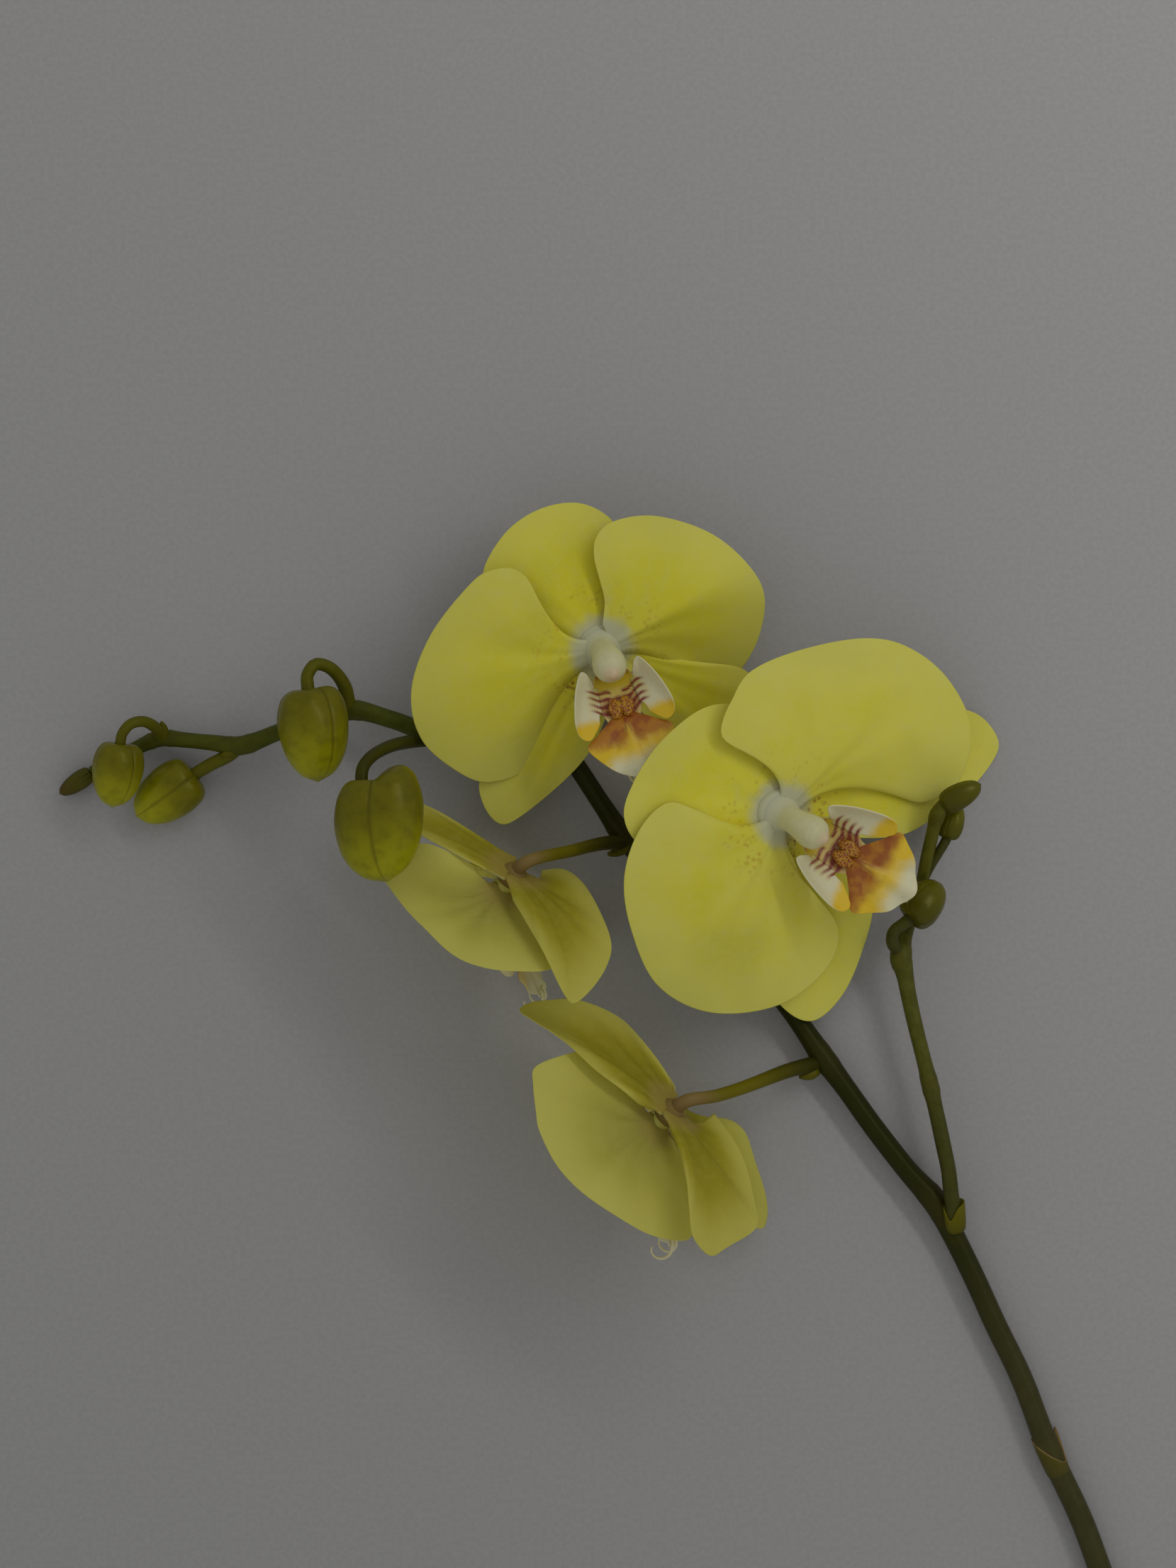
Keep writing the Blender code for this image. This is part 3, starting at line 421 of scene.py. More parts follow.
def blade_shell(surface, front, thickness, rim_share, masks=None):
    """A closed blade from its middle surface.

    Each point moves half the thickness to both sides along the normal, which is the mean one near the
    claw. At the rim the thickness falls to rim_share of its value: thickness times (rim_share +
    (1 - rim_share) times (1 - u to the 4th)). The first mask is 1 on the back face and 0 on the front
    face, the one that looks along the front vector, and the given masks are the other three.
    """
    rows, columns = surface.shape[0] - 1, surface.shape[1] - 1
    normal = surface_normals(surface)
    mean = unit(normal.mean(axis=(0, 1)))
    u, v = shares(rows, columns)
    uv = np.stack(np.broadcast_arrays(u, v), axis=-1).reshape(-1, 2)
    u = u[..., None]
    near_root = 1 - ease(u, 0, MEAN_REACH)
    normal = units(normal * (1 - near_root) + mean * near_root)
    if np.dot(mean, front) < 0:
        normal = -normal
    half = thickness / 2 * (rim_share + (1 - rim_share) * (1 - u ** 4)) * normal
    count = (rows + 1) * (columns + 1)
    points = np.concatenate([(surface + half).reshape(-1, 3), (surface - half).reshape(-1, 3)])
    grid = grid_triangles(rows, columns)
    index = np.arange(count).reshape(rows + 1, columns + 1)
    rim = np.concatenate([index[0, :-1], index[:-1, -1], index[-1, :0:-1], index[:0:-1, 0]])
    following = np.roll(rim, -1)
    wall = np.concatenate([np.stack([following, rim, rim + count], 1),
                           np.stack([following, rim + count, following + count], 1)])
    values = np.zeros((2, count, 4))
    values[1, :, 0] = 1
    if masks is not None:
        values[:, :, 1:] = masks.reshape(count, 3)
    triangles = np.concatenate([grid, grid[:, ::-1] + count, wall])
    return shell(points, triangles, np.concatenate([uv, uv]), values.reshape(-1, 4))


# %% Stalks
def rings_along(path, radii, sides):
    """Rings of points square to a path, carried along it without twisting.

    A ring's point is the path's point plus the radius times (cos a times side + sin a times up). The
    radii may be one number for each ring, or one for each point of each ring.
    """
    tangents = units(np.gradient(path, axis=0))
    side = unit(np.cross(tangents[0], np.eye(3)[np.argmin(np.abs(tangents[0]))]))
    sides_of_rings = []
    for tangent in tangents:
        side = unit(side - tangent * np.dot(side, tangent))
        sides_of_rings.append(side)
    across = np.array(sides_of_rings)[:, None, :]
    up = np.cross(across, tangents[:, None, :])
    angles = np.linspace(0, 2 * np.pi, sides, endpoint=False)[None, :, None]
    radii = np.asarray(radii, float).reshape(len(path), -1, 1)
    return path[:, None, :] + radii * (np.cos(angles) * across + np.sin(angles) * up)


def ring_shell(rings, masks):
    """A closed skin over rings of points, with a flat fan at each end.

    uv is (share of the way along, share of the way round). The masks are four for all the points, or
    four for each.
    """
    count, sides = rings.shape[:2]
    points = np.concatenate([rings.reshape(-1, 3), rings[:1].mean(axis=1), rings[-1:].mean(axis=1)])
    j = np.arange(sides)
    k = (j + 1) % sides
    end = (count - 1) * sides
    first, last = np.full(sides, count * sides), np.full(sides, count * sides + 1)
    fans = np.stack([k, j, first], 1), np.stack([end + j, end + k, last], 1)
    triangles = np.concatenate([grid_triangles(count - 1, sides, wrap=True), *fans])
    along = np.linspace(0, 1, count)[:, None]
    round_it = np.linspace(0, 1, sides, endpoint=False)[None, :]
    uv = np.stack(np.broadcast_arrays(along, round_it), axis=-1).reshape(-1, 2)
    uv = np.concatenate([uv, [[0, 0], [1, 0]]])
    values = np.broadcast_to(np.asarray(masks, float), (count, sides, 4)).reshape(-1, 4)
    return shell(points, triangles, uv, np.concatenate([values, values[:1], values[-1:]]))


def stalk_shell(route, radii, sides, step, masks=(0, 0, 0, 0)):
    """A round stalk along a smooth curve through the route; radii, in metres, are at even places."""
    length = np.linalg.norm(np.diff(route, axis=0), axis=1).sum()
    count = max(4, int(round(length / step)))
    path = curve_through(route, count)
    radius = np.interp(np.linspace(0, 1, count + 1), np.linspace(0, 1, len(radii)), radii)
    return ring_shell(rings_along(path, radius, sides), masks)

# %% [markdown]
# ## The flowers' landmarks
# A moth orchid's flower has three narrow sepals at the back, two broad petals before them, a small lip
# of three lobes and, over it, the column that holds the pollen. Landmarks round each rim are the most
# direct way to shape a blade that lies turned in space: eight to nineteen of them give the outline
# from above and their heights the tilt. A flower seen from behind has the same parts, so it needs no
# other code.

# %% Landmarks of the flowers
# Hub: where the sepals and petals meet. Facing and up turn the flower. Leaning says that heights count
# from the flower's own plane and not from the hub, and only the flowers that face the eye lean so. Lip:
# how far it nods in degrees, its size, and the side its tendrils curl to. A blade: its direction in the
# flower's plane in degrees, its height over it, its bulge, and its rim's landmarks.
FLOWERS = {
    "flower_1": {
        "hub": (849, 915, 21.0), "facing": (0.10, -0.16, 1.0), "up": (-0.28, 0.96, 0.0),
        "leaning": True, "lip": (0.0, 1.0, -1.0),
        "dorsal_sepal": (90, -1.0, 1.4, [
            (800, 925, -1.2), (762, 900, -1.6), (722, 866, -2.0), (698, 836, -2.2), (682, 805, -2.8),
            (714, 750, -3.4), (762, 718, -4.0), (817, 710, -4.0), (862, 733, -3.2), (886, 780, -2.4),
            (890, 840, -1.8), (880, 885, -1.4)]),
        "left_petal": (176, 0.8, 2.5, [
            (800, 904, 1.6), (778, 882, 1.9), (763, 859, 2.2), (754, 835, 2.5), (742, 814, 2.5),
            (722, 802, 2.2), (695, 804, 1.8), (665, 822, 1.2), (608, 895, -0.6), (580, 976, -2.2),
            (596, 1045, -3.0), (655, 1094, -2.6), (698, 1104, -2.0), (748, 1085, -1.0),
            (775, 1029, 0.0), (795, 972, 0.8), (806, 948, 1.2)]),
        "right_petal": (4, 0.8, 2.5, [
            (850, 882, 1.6), (853, 848, 2.0), (846, 818, 2.3), (838, 786, 2.4), (841, 757, 2.4),
            (866, 735, 2.2), (925, 728, 1.0), (1000, 751, -0.8), (1054, 795, -2.0), (1080, 845, -3.0),
            (1069, 915, -4.0), (1030, 973, -4.0), (995, 985, -2.4), (960, 968, -1.4), (930, 945, 0.0),
            (900, 922, 1.0)]),
        "left_sepal": (232, -1.2, 1.0, [
            (765, 985, -3.0), (712, 1035, -4.5), (678, 1095, -5.5), (682, 1135, -6.0),
            (705, 1162, -6.4), (735, 1151, -6.0), (796, 1101, -4.6), (835, 1055, -3.4),
            (858, 1000, -2.4), (862, 960, -1.8)]),
        "right_sepal": (312, -1.2, 1.0, [
            (896, 998, -2.8), (950, 1036, -4.8), (1010, 1055, -7.0), (1065, 1055, -9.0),
            (1093, 1025, -10.0), (1085, 985, -9.0), (1050, 945, -7.0), (1000, 935, -5.2),
            (940, 930, -3.2)])},
    "flower_2": {
        "hub": (1102, 1147, 28.0), "facing": (0.352, -0.229, 0.90), "up": (-0.848, 0.530, 0.0),
        "leaning": True, "lip": (8.0, 1.05, -1.0),
        "dorsal_sepal": (90, -1.0, 1.4, [
            (1090, 1180, -1.2), (1060, 1194, -1.5), (1010, 1206, -1.9), (960, 1207, -2.5),
            (903, 1192, -3.5), (880, 1150, -4.0), (897, 1098, -4.5), (934, 1044, -4.5),
            (985, 1002, -4.0), (1030, 993, -3.5), (1066, 1010, -3.0), (1088, 1060, -2.2),
            (1110, 1110, -1.4)]),
        "left_petal": (178, 0.8, 2.5, [
            (1085, 1172, 1.2), (1058, 1169, 1.4), (1026, 1163, 1.6), (985, 1145, 2.0),
            (945, 1137, 2.0), (905, 1176, 1.2), (882, 1240, 0.0), (890, 1310, -0.8),
            (928, 1390, -1.2), (1001, 1428, -1.4), (1097, 1417, -1.2), (1165, 1367, -0.4),
            (1183, 1312, 0.6), (1150, 1262, 1.6), (1130, 1238, 1.7), (1118, 1208, 1.6)]),
        "right_petal": (2, 0.8, 2.5, [
            (1105, 1104, 1.4), (1085, 1081, 1.7), (1058, 1062, 2.0), (1035, 1053, 2.3),
            (1018, 1038, 2.4), (1020, 1016, 2.3), (1032, 990, 2.0), (1060, 948, 1.0),
            (1130, 917, 0.0), (1215, 900, -1.0), (1277, 911, -2.0), (1335, 955, -3.0),
            (1369, 1025, -4.0), (1354, 1100, -4.0), (1308, 1133, -2.5), (1264, 1124, -1.4),
            (1220, 1114, -0.6), (1180, 1116, 0.2), (1148, 1126, 0.8)]),
        "left_sepal": (226, -1.2, 1.0, [
            (1080, 1240, -2.8), (1068, 1310, -3.8), (1078, 1382, -4.4), (1112, 1428, -4.6),
            (1149, 1440, -4.6), (1186, 1406, -4.8), (1213, 1350, -4.8), (1231, 1280, -4.2),
            (1213, 1226, -3.2), (1180, 1190, -2.2)]),
        "right_sepal": (312, -1.2, 1.0, [
            (1160, 1170, -2.2), (1215, 1182, -3.2), (1274, 1177, -5.0), (1320, 1151, -7.5),
            (1361, 1121, -10.0), (1396, 1079, -13.0), (1407, 1045, -14.4), (1381, 1009, -12.4),
            (1335, 1000, -9.2), (1270, 1020, -6.4), (1200, 1072, -3.8), (1145, 1110, -2.2)])},
    "flower_3": {
        "hub": (722, 1238, 29.0), "facing": (-0.45, -0.79, -0.42), "up": (-0.87, 0.49, 0.0),
        "leaning": False, "lip": (-14.0, 0.88, 1.0),
        "dorsal_sepal": (90, -1.8, -0.6, [
            (682, 1224, 5.0), (660, 1213, 4.0), (630, 1197, 2.0), (597, 1182, 0.0), (548, 1154, -4.5),
            (522, 1132, -7.0), (560, 1126, -9.0), (609, 1139, -9.5), (652, 1165, -8.0),
            (692, 1200, -6.0), (706, 1213, -5.0)]),
        "left_petal": (186, 1.2, 1.0, [
            (628, 1210, -12.0), (608, 1214, -17.0), (620, 1224, -22.0), (650, 1228, -26.0),
            (700, 1232, -28.0), (747, 1236, -28.4), (785, 1238, -27.0), (803, 1238, -21.0),
            (790, 1236, -13.0)]),
        "right_petal": (-14, 2.2, 1.0, [
            (668, 1220, 2.5), (625, 1199, 1.5), (592, 1191, 0.0), (548, 1202, -3.0),
            (530, 1222, -4.0), (548, 1243, 0.0), (575, 1288, 8.0), (596, 1312, 14.0),
            (632, 1342, 21.0), (668, 1360, 24.0), (716, 1370, 25.0), (777, 1366, 20.0),
            (776, 1330, 12.0), (748, 1284, 5.0)]),
        "left_sepal": (236, -1.4, 1.0, [
            (768, 1256, -17.0), (798, 1280, -24.0), (828, 1308, -27.5), (847, 1327, -26.0),
            (845, 1332, -20.0), (825, 1324, -12.5), (797, 1308, -7.0), (768, 1284, -4.0)]),
        "right_sepal": (312, -1.6, -1.0, [
            (724, 1271, 8.0), (747, 1309, 15.0), (764, 1340, 21.0), (784, 1382, 26.0),
            (799, 1406, 28.0), (813, 1413, 27.0), (840, 1388, 23.0), (859, 1357, 18.0),
            (867, 1324, 12.0), (852, 1276, 4.0), (828, 1237, -2.5), (801, 1217, -6.5),
            (770, 1218, -7.0)])},
    "flower_4": {
        "hub": (942, 1571, 30.0), "facing": (-0.68, -0.60, -0.42), "up": (-0.66, 0.75, 0.0),
        "leaning": False, "lip": (-7.0, 0.95, 1.0),
        "dorsal_sepal": (90, -1.8, -0.6, [
            (908, 1553, 6.5), (883, 1533, 8.5), (849, 1506, 9.5), (813, 1471, 9.5), (786, 1453, 8.5),
            (758, 1440, 6.5), (734, 1425, 3.0), (750, 1413, -1.0), (781, 1410, -3.0),
            (813, 1412, -5.0), (869, 1434, -8.0), (899, 1458, -8.5), (926, 1491, -7.0),
            (952, 1532, -4.0)]),
        "left_petal": (186, 1.2, 1.0, [
            (872, 1512, -11.0), (856, 1506, -17.0), (868, 1524, -23.0), (895, 1548, -27.5),
            (930, 1578, -29.4), (965, 1610, -29.4), (998, 1638, -27.5), (1014, 1646, -21.5),
            (1004, 1624, -14.0)]),
        "right_petal": (-14, 2.2, 1.0, [
            (905, 1549, 1.5), (865, 1512, 2.5), (826, 1484, 4.0), (800, 1486, 6.5), (755, 1505, 12.0),
            (751, 1530, 15.0), (756, 1570, 18.5), (762, 1597, 20.5), (790, 1652, 22.5),
            (832, 1695, 22.0), (895, 1730, 19.0), (938, 1744, 16.0), (977, 1744, 12.0),
            (976, 1700, 8.0), (966, 1650, 4.5), (950, 1608, 2.0)]),
        "left_sepal": (236, -1.4, 1.0, [
            (990, 1581, -12.0), (1022, 1579, -17.0), (1051, 1600, -20.0), (1069, 1645, -23.0),
            (1081, 1691, -24.5), (1083, 1715, -24.0), (1077, 1732, -22.0), (1060, 1728, -17.5),
            (1035, 1705, -11.5), (1012, 1675, -7.0)]),
        "right_sepal": (312, -1.6, -1.0, [
            (960, 1626, 10.0), (969, 1666, 17.0), (973, 1708, 22.0), (979, 1744, 25.0),
            (1002, 1771, 25.0), (1024, 1761, 22.5), (1072, 1729, 16.0), (1078, 1703, 12.5),
            (1064, 1646, 5.0), (1044, 1602, 0.0), (1016, 1563, -4.0)])},
}


# %% Places in a flower
def flower_frame(flower):
    """Columns are the flower's own right, up and front: up made square to front, and up cross front."""
    front = unit(np.array(flower["facing"]))
    up = np.array(flower["up"])
    up = unit(up - front * np.dot(up, front))
    return np.stack([np.cross(up, front), up, front], axis=1)


def in_flower(flower, axes, local):
    """Points of the flower's own frame, in millimetres, as places."""
    return place(*flower["hub"]) + np.asarray(local, float) * MM @ axes.T


def rim_places(flower, axes, rim):
    """Landmarks of a rim as places.

    Where heights count from the flower's plane, that plane's height under a pixel depends on the place,
    which depends on the height, so three rounds of the two bring them together.
    """
    hub = place(*flower["hub"])
    base = flower["hub"][2]
    result = []
    for column, row, height in rim:
        level = base
        if flower["leaning"]:
            for _ in range(3):
                away = place(column, row, level) - hub
                drop = (axes[0, 2] * away[0] + axes[1, 2] * away[1]) / axes[2, 2]
                level = base - drop / MM
        result.append(place(column, row, level + height))
    return np.array(result)


# %% [markdown]
# ## Petal and sepal finish
# A petal is waxy and yellow, nearly white where it narrows to its claw, with faint veins that fan out
# to the rim. Its back is duller, and fine dots gather near the centre, ochre on petals and red-brown
# on sepals. The veins follow the blade, so they are read from its own uv map: u runs from claw to rim
# and v along the rim. The dots and the blotches don't follow it and come from places in space.

# %% Petal and sepal finish
VEINS = 30                    # across a blade
VEIN_WAVER = 1.6              # how far noise moves a vein, in radians of its wave
VEIN_TINT = 0.10              # how much of the deep yellow a vein has
VEIN_PEAK = (0.55, 1.0)       # the part of its wave that shows as a vein
VEIN_START = (0.12, 0.35)     # where veins begin and are full, from claw to rim
VEIN_WAVES = 160.0            # to a metre
# Patterns: blotches to a metre, their detail, where they begin and are full, and their share
BLOTCHES = (70.0, 3.0, 0.38, 0.72, 0.75)
GREEN_PATCHES = (32.0, 2.0, 0.52, 0.72, 0.55)
PALE_SPECKS = (520.0, 3.0, 0.35, 0.75, 0.18)
DOT_CLUSTERS = (230.0, 2.0, 0.46, 0.60)
PETAL_DOTS = (760.0, 0.15, 0.55, 0.9)   # dots to a metre, their core, edge and share
PALER_PART = (0.60, 1.0, 0.0, 0.45)   # where a blade's paling begins and ends, and its shares
BACK_PART = (0.25, 0.85)      # where a back's darker foot ends
CENTRE_EDGE = (300.0, 0.8)    # blotches to a metre that break the white centre's edge, and their spread
FAINT_SPECKS = 0.6            # how much fainter the specks are on a back
FAINT_PINK = 0.5              # how much of the pink a back has at its centre
PETAL_GLOSS = (0.22, (1.0, 0.95, 0.5))
PETAL_GLOW = (0.12, (1.0, 0.85, 0.25), 1.2 * MM)
PETAL_GRAIN = (2600.0, 0.15)  # grains to a metre and their height, beside that of a vein
VEIN_HEIGHT = -0.06
PETAL_RELIEF = 0.12 * MM


def petal_finish(name, front, back, deep, dot_colour, roughness):
    """A yellow blade: front and back colour, a deeper colour in blotches, and the colour of its dots.

    Its masks are the back face, the white centre, the dotted zone and how deep its yellow is.
    """
    material, tree, shader = new_material(name)
    position, is_back, white, dotted, deeper = place_and_masks(tree)
    surface = add(tree, "SeparateXYZ", {0: add(tree, "UVMap", uv_map="surface").outputs[0]})
    u, v = surface.outputs[0], surface.outputs[1]
    is_front = rest(tree, is_back)
    waver = times(tree, noise(tree, position, VEIN_WAVES), VEIN_WAVER)
    vein_wave = maths(tree, "SINE", plus(tree, times(tree, v, VEINS * 2 * math.pi), waver))
    veins = times(tree, ramp(tree, vein_wave, *VEIN_PEAK), ramp(tree, u, *VEIN_START))
    behind = mix(tree, ramp(tree, u, *BACK_PART), [BACK_FOOT * c for c in back], back)
    specks = times(tree, pattern(tree, position, *PALE_SPECKS),
                   rest(tree, times(tree, is_back, FAINT_SPECKS)))
    edge_scale, edge_spread = CENTRE_EDGE
    uneven = centred(tree, noise(tree, position, edge_scale), edge_spread)
    centre = ramp(tree, plus(tree, white, uneven), 0.0, 1.0)
    spots = times(tree, dots(tree, position, *PETAL_DOTS), pattern(tree, position, *DOT_CLUSTERS))
    colour = layers(
        tree, front, (pattern(tree, position, *BLOTCHES), deep), (times(tree, veins, VEIN_TINT), deep),
        (deeper, deep), (pattern(tree, position, *GREEN_PATCHES), GREENISH), (is_back, behind),
        (specks, PALE_RIM), (ramp(tree, u, *PALER_PART), PALE_RIM),
        (times(tree, centre, is_front), CENTRE_WHITE),
        (times(tree, centre, times(tree, is_back, FAINT_PINK)), BACK_PINK),
        (times(tree, times(tree, spots, dotted), is_front), dot_colour))
    tree.links.new(colour, shader.inputs["Base Color"])
    gloss(shader, roughness, *PETAL_GLOSS)
    under_skin(shader, *PETAL_GLOW)
    grain_scale, grain_height = PETAL_GRAIN
    grain = times(tree, noise(tree, position, grain_scale), grain_height)
    bump(tree, shader, plus(tree, times(tree, veins, VEIN_HEIGHT), grain), PETAL_RELIEF)
    return material


PETAL_FRONT = (0.80, 0.74, 0.10)
PETAL_BACK = (0.60, 0.56, 0.10)
PETAL_DEEP = (0.76, 0.69, 0.035)
SEPAL_FRONT = (0.84, 0.77, 0.06)
SEPAL_BACK = (0.42, 0.365, 0.02)
SEPAL_DEEP = (0.76, 0.68, 0.025)
GREENISH = (0.60, 0.57, 0.07)
PALE_RIM = (0.80, 0.76, 0.20)
CENTRE_WHITE = (0.61, 0.61, 0.40)
BACK_PINK = (0.46, 0.33, 0.10)
BACK_FOOT = 0.72              # how dark a back is near its foot, as a share
OCHRE_DOTS = (0.66, 0.49, 0.05)
RED_DOTS = (0.34, 0.12, 0.03)
petal_material = petal_finish("petal_yellow", PETAL_FRONT, PETAL_BACK, PETAL_DEEP, OCHRE_DOTS, 0.5)
sepal_material = petal_finish("sepal_yellow", SEPAL_FRONT, SEPAL_BACK, SEPAL_DEEP, RED_DOTS, 0.46)

# %% [markdown]
# ## Petals and sepals
# Each is one blade: a fan of curved rays from its claw to its rim, lifted in the middle. The plain
# solid has the same fan with few rays. Here the rays are close, the rim ripples a little, the blade
# has soft folds, the midrib shows, and the edge is thin.

# %% Petals and sepals
CLAW_WIDTHS = {"dorsal_sepal": 9.0, "left_sepal": 7.0, "right_sepal": 7.0, "left_petal": 5.0,
               "right_petal": 5.0}
CLAW_RING = 1.2               # millimetres from the flower's axis to a claw
CLAW_BEHIND = 1.35            # how much wider the claws are on the flowers that are seen from behind
# Parts of a blade that bend back, as the plain solids' smooth bulge doesn't say: the share v of the rim
# where it begins, where it is full, and the drop at the rim in millimetres
SAGS = {
    "flower_1_right_petal": (0.50, 0.80, 7.0), "flower_1_left_petal": (0.65, 0.92, 5.0),
    "flower_1_dorsal_sepal": (0.60, 0.95, 3.0), "flower_2_right_petal": (0.70, 0.95, 3.0),
    "flower_2_left_petal": (0.40, 0.15, 2.5), "flower_3_right_sepal": (0.48, 0.62, -2.0),
    "flower_4_right_sepal": (0.42, 0.56, -2.0), "flower_4_dorsal_sepal": (0.45, 0.25, -1.5)}
PETAL_RIB = 0.6               # height of the midrib in millimetres
SEPAL_RIB = -0.5              # a groove
TEPALS = ("dorsal_sepal", "left_sepal", "right_sepal", "left_petal", "right_petal")
TEPAL_ROWS = 40
TEPAL_COLUMNS = 112
TEPAL_THICKNESS = 0.7 * MM
RIM_SHARE = 0.22              # of that thickness is left at the rim
RIPPLE = 0.5 * MM
RIPPLE_BEHIND = 0.8 * MM
SEPAL_RIPPLE = 0.6            # a sepal's ripples as a share of a petal's
FOLD_SHARE = 0.45             # folds inside a blade as a share of the waves of its rim
TABLE_SOFTNESS = 1.2 * MM     # how early a blade starts to bend to the table
ripple_draw = np.random.default_rng(7)


def ripples(rows, columns, amplitude):
    """Waves of the rim and folds inside it, as heights.

    The waves are two long sines along the rim times u to the power 1.4. The folds are two shorter sines
    times u sin(pi u), so that they fade at the claw and at the rim.
    """
    u, v = shares(rows, columns)
    waves = sum(np.sin(2 * np.pi * (k * v + ripple_draw.random())) for k in (1.7, 3.1))
    folds = sum(np.sin(2 * np.pi * (k * v + ripple_draw.random())) for k in (3.8, 6.2))
    height = 0.6 * waves * u ** 1.4 + FOLD_SHARE * folds * u * np.sin(np.pi * u)
    return amplitude * height * np.sin(np.pi * v) ** 0.5


def settle(surface, thickness):
    """Bend a surface that would reach into the table so that it comes to lie along it.

    A height h over the lowest becomes (h + root of (h squared + softness squared)) over two.
    """
    lowest = thickness / 2
    height = surface[..., 2] - lowest
    settled = surface.copy()
    settled[..., 2] = lowest + (height + np.sqrt(height ** 2 + TABLE_SOFTNESS ** 2)) / 2
    return settled


def tepal_surface(name, tepal, flower, axes):
    """Middle surface of a sepal or petal, with its ripples and, at some, a part that bends back.

    That part drops by its millimetres times a smooth step along the rim times u to the power 1.5.
    """
    direction, rise, crown, rim = flower[tepal]
    is_petal = tepal.endswith("petal")
    angle = np.radians(direction)
    root = in_flower(flower, axes, (CLAW_RING * np.cos(angle), CLAW_RING * np.sin(angle), rise))
    width = CLAW_WIDTHS[tepal] * (1.0 if flower["leaning"] else CLAW_BEHIND)
    claw = axes @ (-np.sin(angle), np.cos(angle), 0.0) * width * MM
    rib = (PETAL_RIB if is_petal else SEPAL_RIB) * MM
    surface = blade_surface(root, rim_places(flower, axes, rim), claw, TEPAL_ROWS, TEPAL_COLUMNS,
                            axes[:, 2], crown * MM, rib)
    amplitude = (RIPPLE if flower["leaning"] else RIPPLE_BEHIND) * (1.0 if is_petal else SEPAL_RIPPLE)
    lift = ripples(TEPAL_ROWS, TEPAL_COLUMNS, amplitude)
    if f"{name}_{tepal}" in SAGS:
        begin, full, drop = SAGS[f"{name}_{tepal}"]
        u, v = shares(TEPAL_ROWS, TEPAL_COLUMNS)
        lift = lift - drop * MM * ease(v, begin, full) * u ** 1.5
    return settle(surface + axes[:, 2] * lift[..., None], TEPAL_THICKNESS)


WHITE_REACH = (4.6, 10.0)     # millimetres from the flower's axis over which white turns yellow
DOTS_REACH = (6.0, 8.5, 12.0, 18.0)   # where the dots begin, are full, begin to fade and end
DEEP_YELLOW = {"flower_1": 0.6}   # this flower's yellow is deeper
SPECKLED = {"dorsal_sepal": 0.25, "left_sepal": 1.0, "right_sepal": 1.0, "left_petal": 1.0,
            "right_petal": 0.7}


def tepal_masks(flower, axes, surface, speckled, deep):
    """White centre and dots, as bands of the distance from the flower's axis, and deep yellow."""
    local = (surface - place(*flower["hub"])) @ axes / MM
    away = np.hypot(local[..., 0], local[..., 1])
    white = 1 - ease(away, *WHITE_REACH)
    dotted = ease(away, *DOTS_REACH[:2]) * (1 - ease(away, *DOTS_REACH[2:])) * speckled
    return np.stack([white, dotted, np.full_like(away, deep)], axis=-1)


for name, flower in FLOWERS.items():
    axes = flower_frame(flower)
    for tepal in TEPALS:
        is_petal = tepal.endswith("petal")
        surface = tepal_surface(name, tepal, flower, axes)
        masks = tepal_masks(flower, axes, surface, SPECKLED[tepal], DEEP_YELLOW.get(name, 0.0))
        blade = blade_shell(surface, axes[:, 2], TEPAL_THICKNESS, RIM_SHARE, masks)
        slot_name, material = ("petal", petal_material) if is_petal else ("sepal", sepal_material)
        make_piece(f"{name}_{tepal}_blade", [blade], f"{name}_{tepal}", material)
    print(name, "has", len(TEPALS), "blades of", 4 * TEPAL_ROWS * TEPAL_COLUMNS, "triangles")

# %% [markdown]
# ## Lip and column
# The lip is the landing place: a claw with a knob, the callus, then a middle lobe like an arrow head
# with two thin tendrils at its tip, and two side lobes that stand up like wings. Its colours are
# painted by masks that the surface functions give: dark red stripes near the foot, then gold, and
# red-brown at the edges. The column is a stalk that swells into a cap.


# %% Lip finish
def lip_finish():
    """White, green that is partly painted shade, gold and brown by masks that noise breaks up, and a
    dark red that is last.

    Up to 1 the third mask is the share of the dark red, for stripes; at 2 it means round dots of it.
    """
    material, tree, shader = new_material("lip_painted")
    position, gold, brown, dark, green = place_and_masks(tree)
    uneven = centred(tree, noise(tree, position, LIP_EDGES, LIP_EDGE_DETAIL), LIP_EDGE_SPREAD)
    browns = mix(tree, pattern(tree, position, *LIP_BLOTCHES), LIP_RED, LIP_BROWN)
    lines = maths(tree, "MINIMUM", dark, 1.0)
    in_dots = ramp(tree, dark, 1.0, 2.0)
    spots = times(tree, dots(tree, position, *LIP_DOTS), in_dots)
    # The green mask is partly the lip's own colour and partly painted shade in its hollows
    colour = layers(tree, LIP_WHITE, (green, LIP_GREEN_AND_SHADE),
                    (ramp(tree, plus(tree, gold, uneven), *GOLD_RANGE), LIP_GOLD),
                    (ramp(tree, plus(tree, brown, uneven), *BROWN_RANGE), browns),
                    (plus(tree, times(tree, lines, rest(tree, in_dots)), spots), LIP_DARK))
    tree.links.new(colour, shader.inputs["Base Color"])
    gloss(shader, LIP_ROUGHNESS)
    under_skin(shader, *LIP_GLOW)
    bump(tree, shader, noise(tree, position, LIP_GRAIN), LIP_RELIEF)
    return material


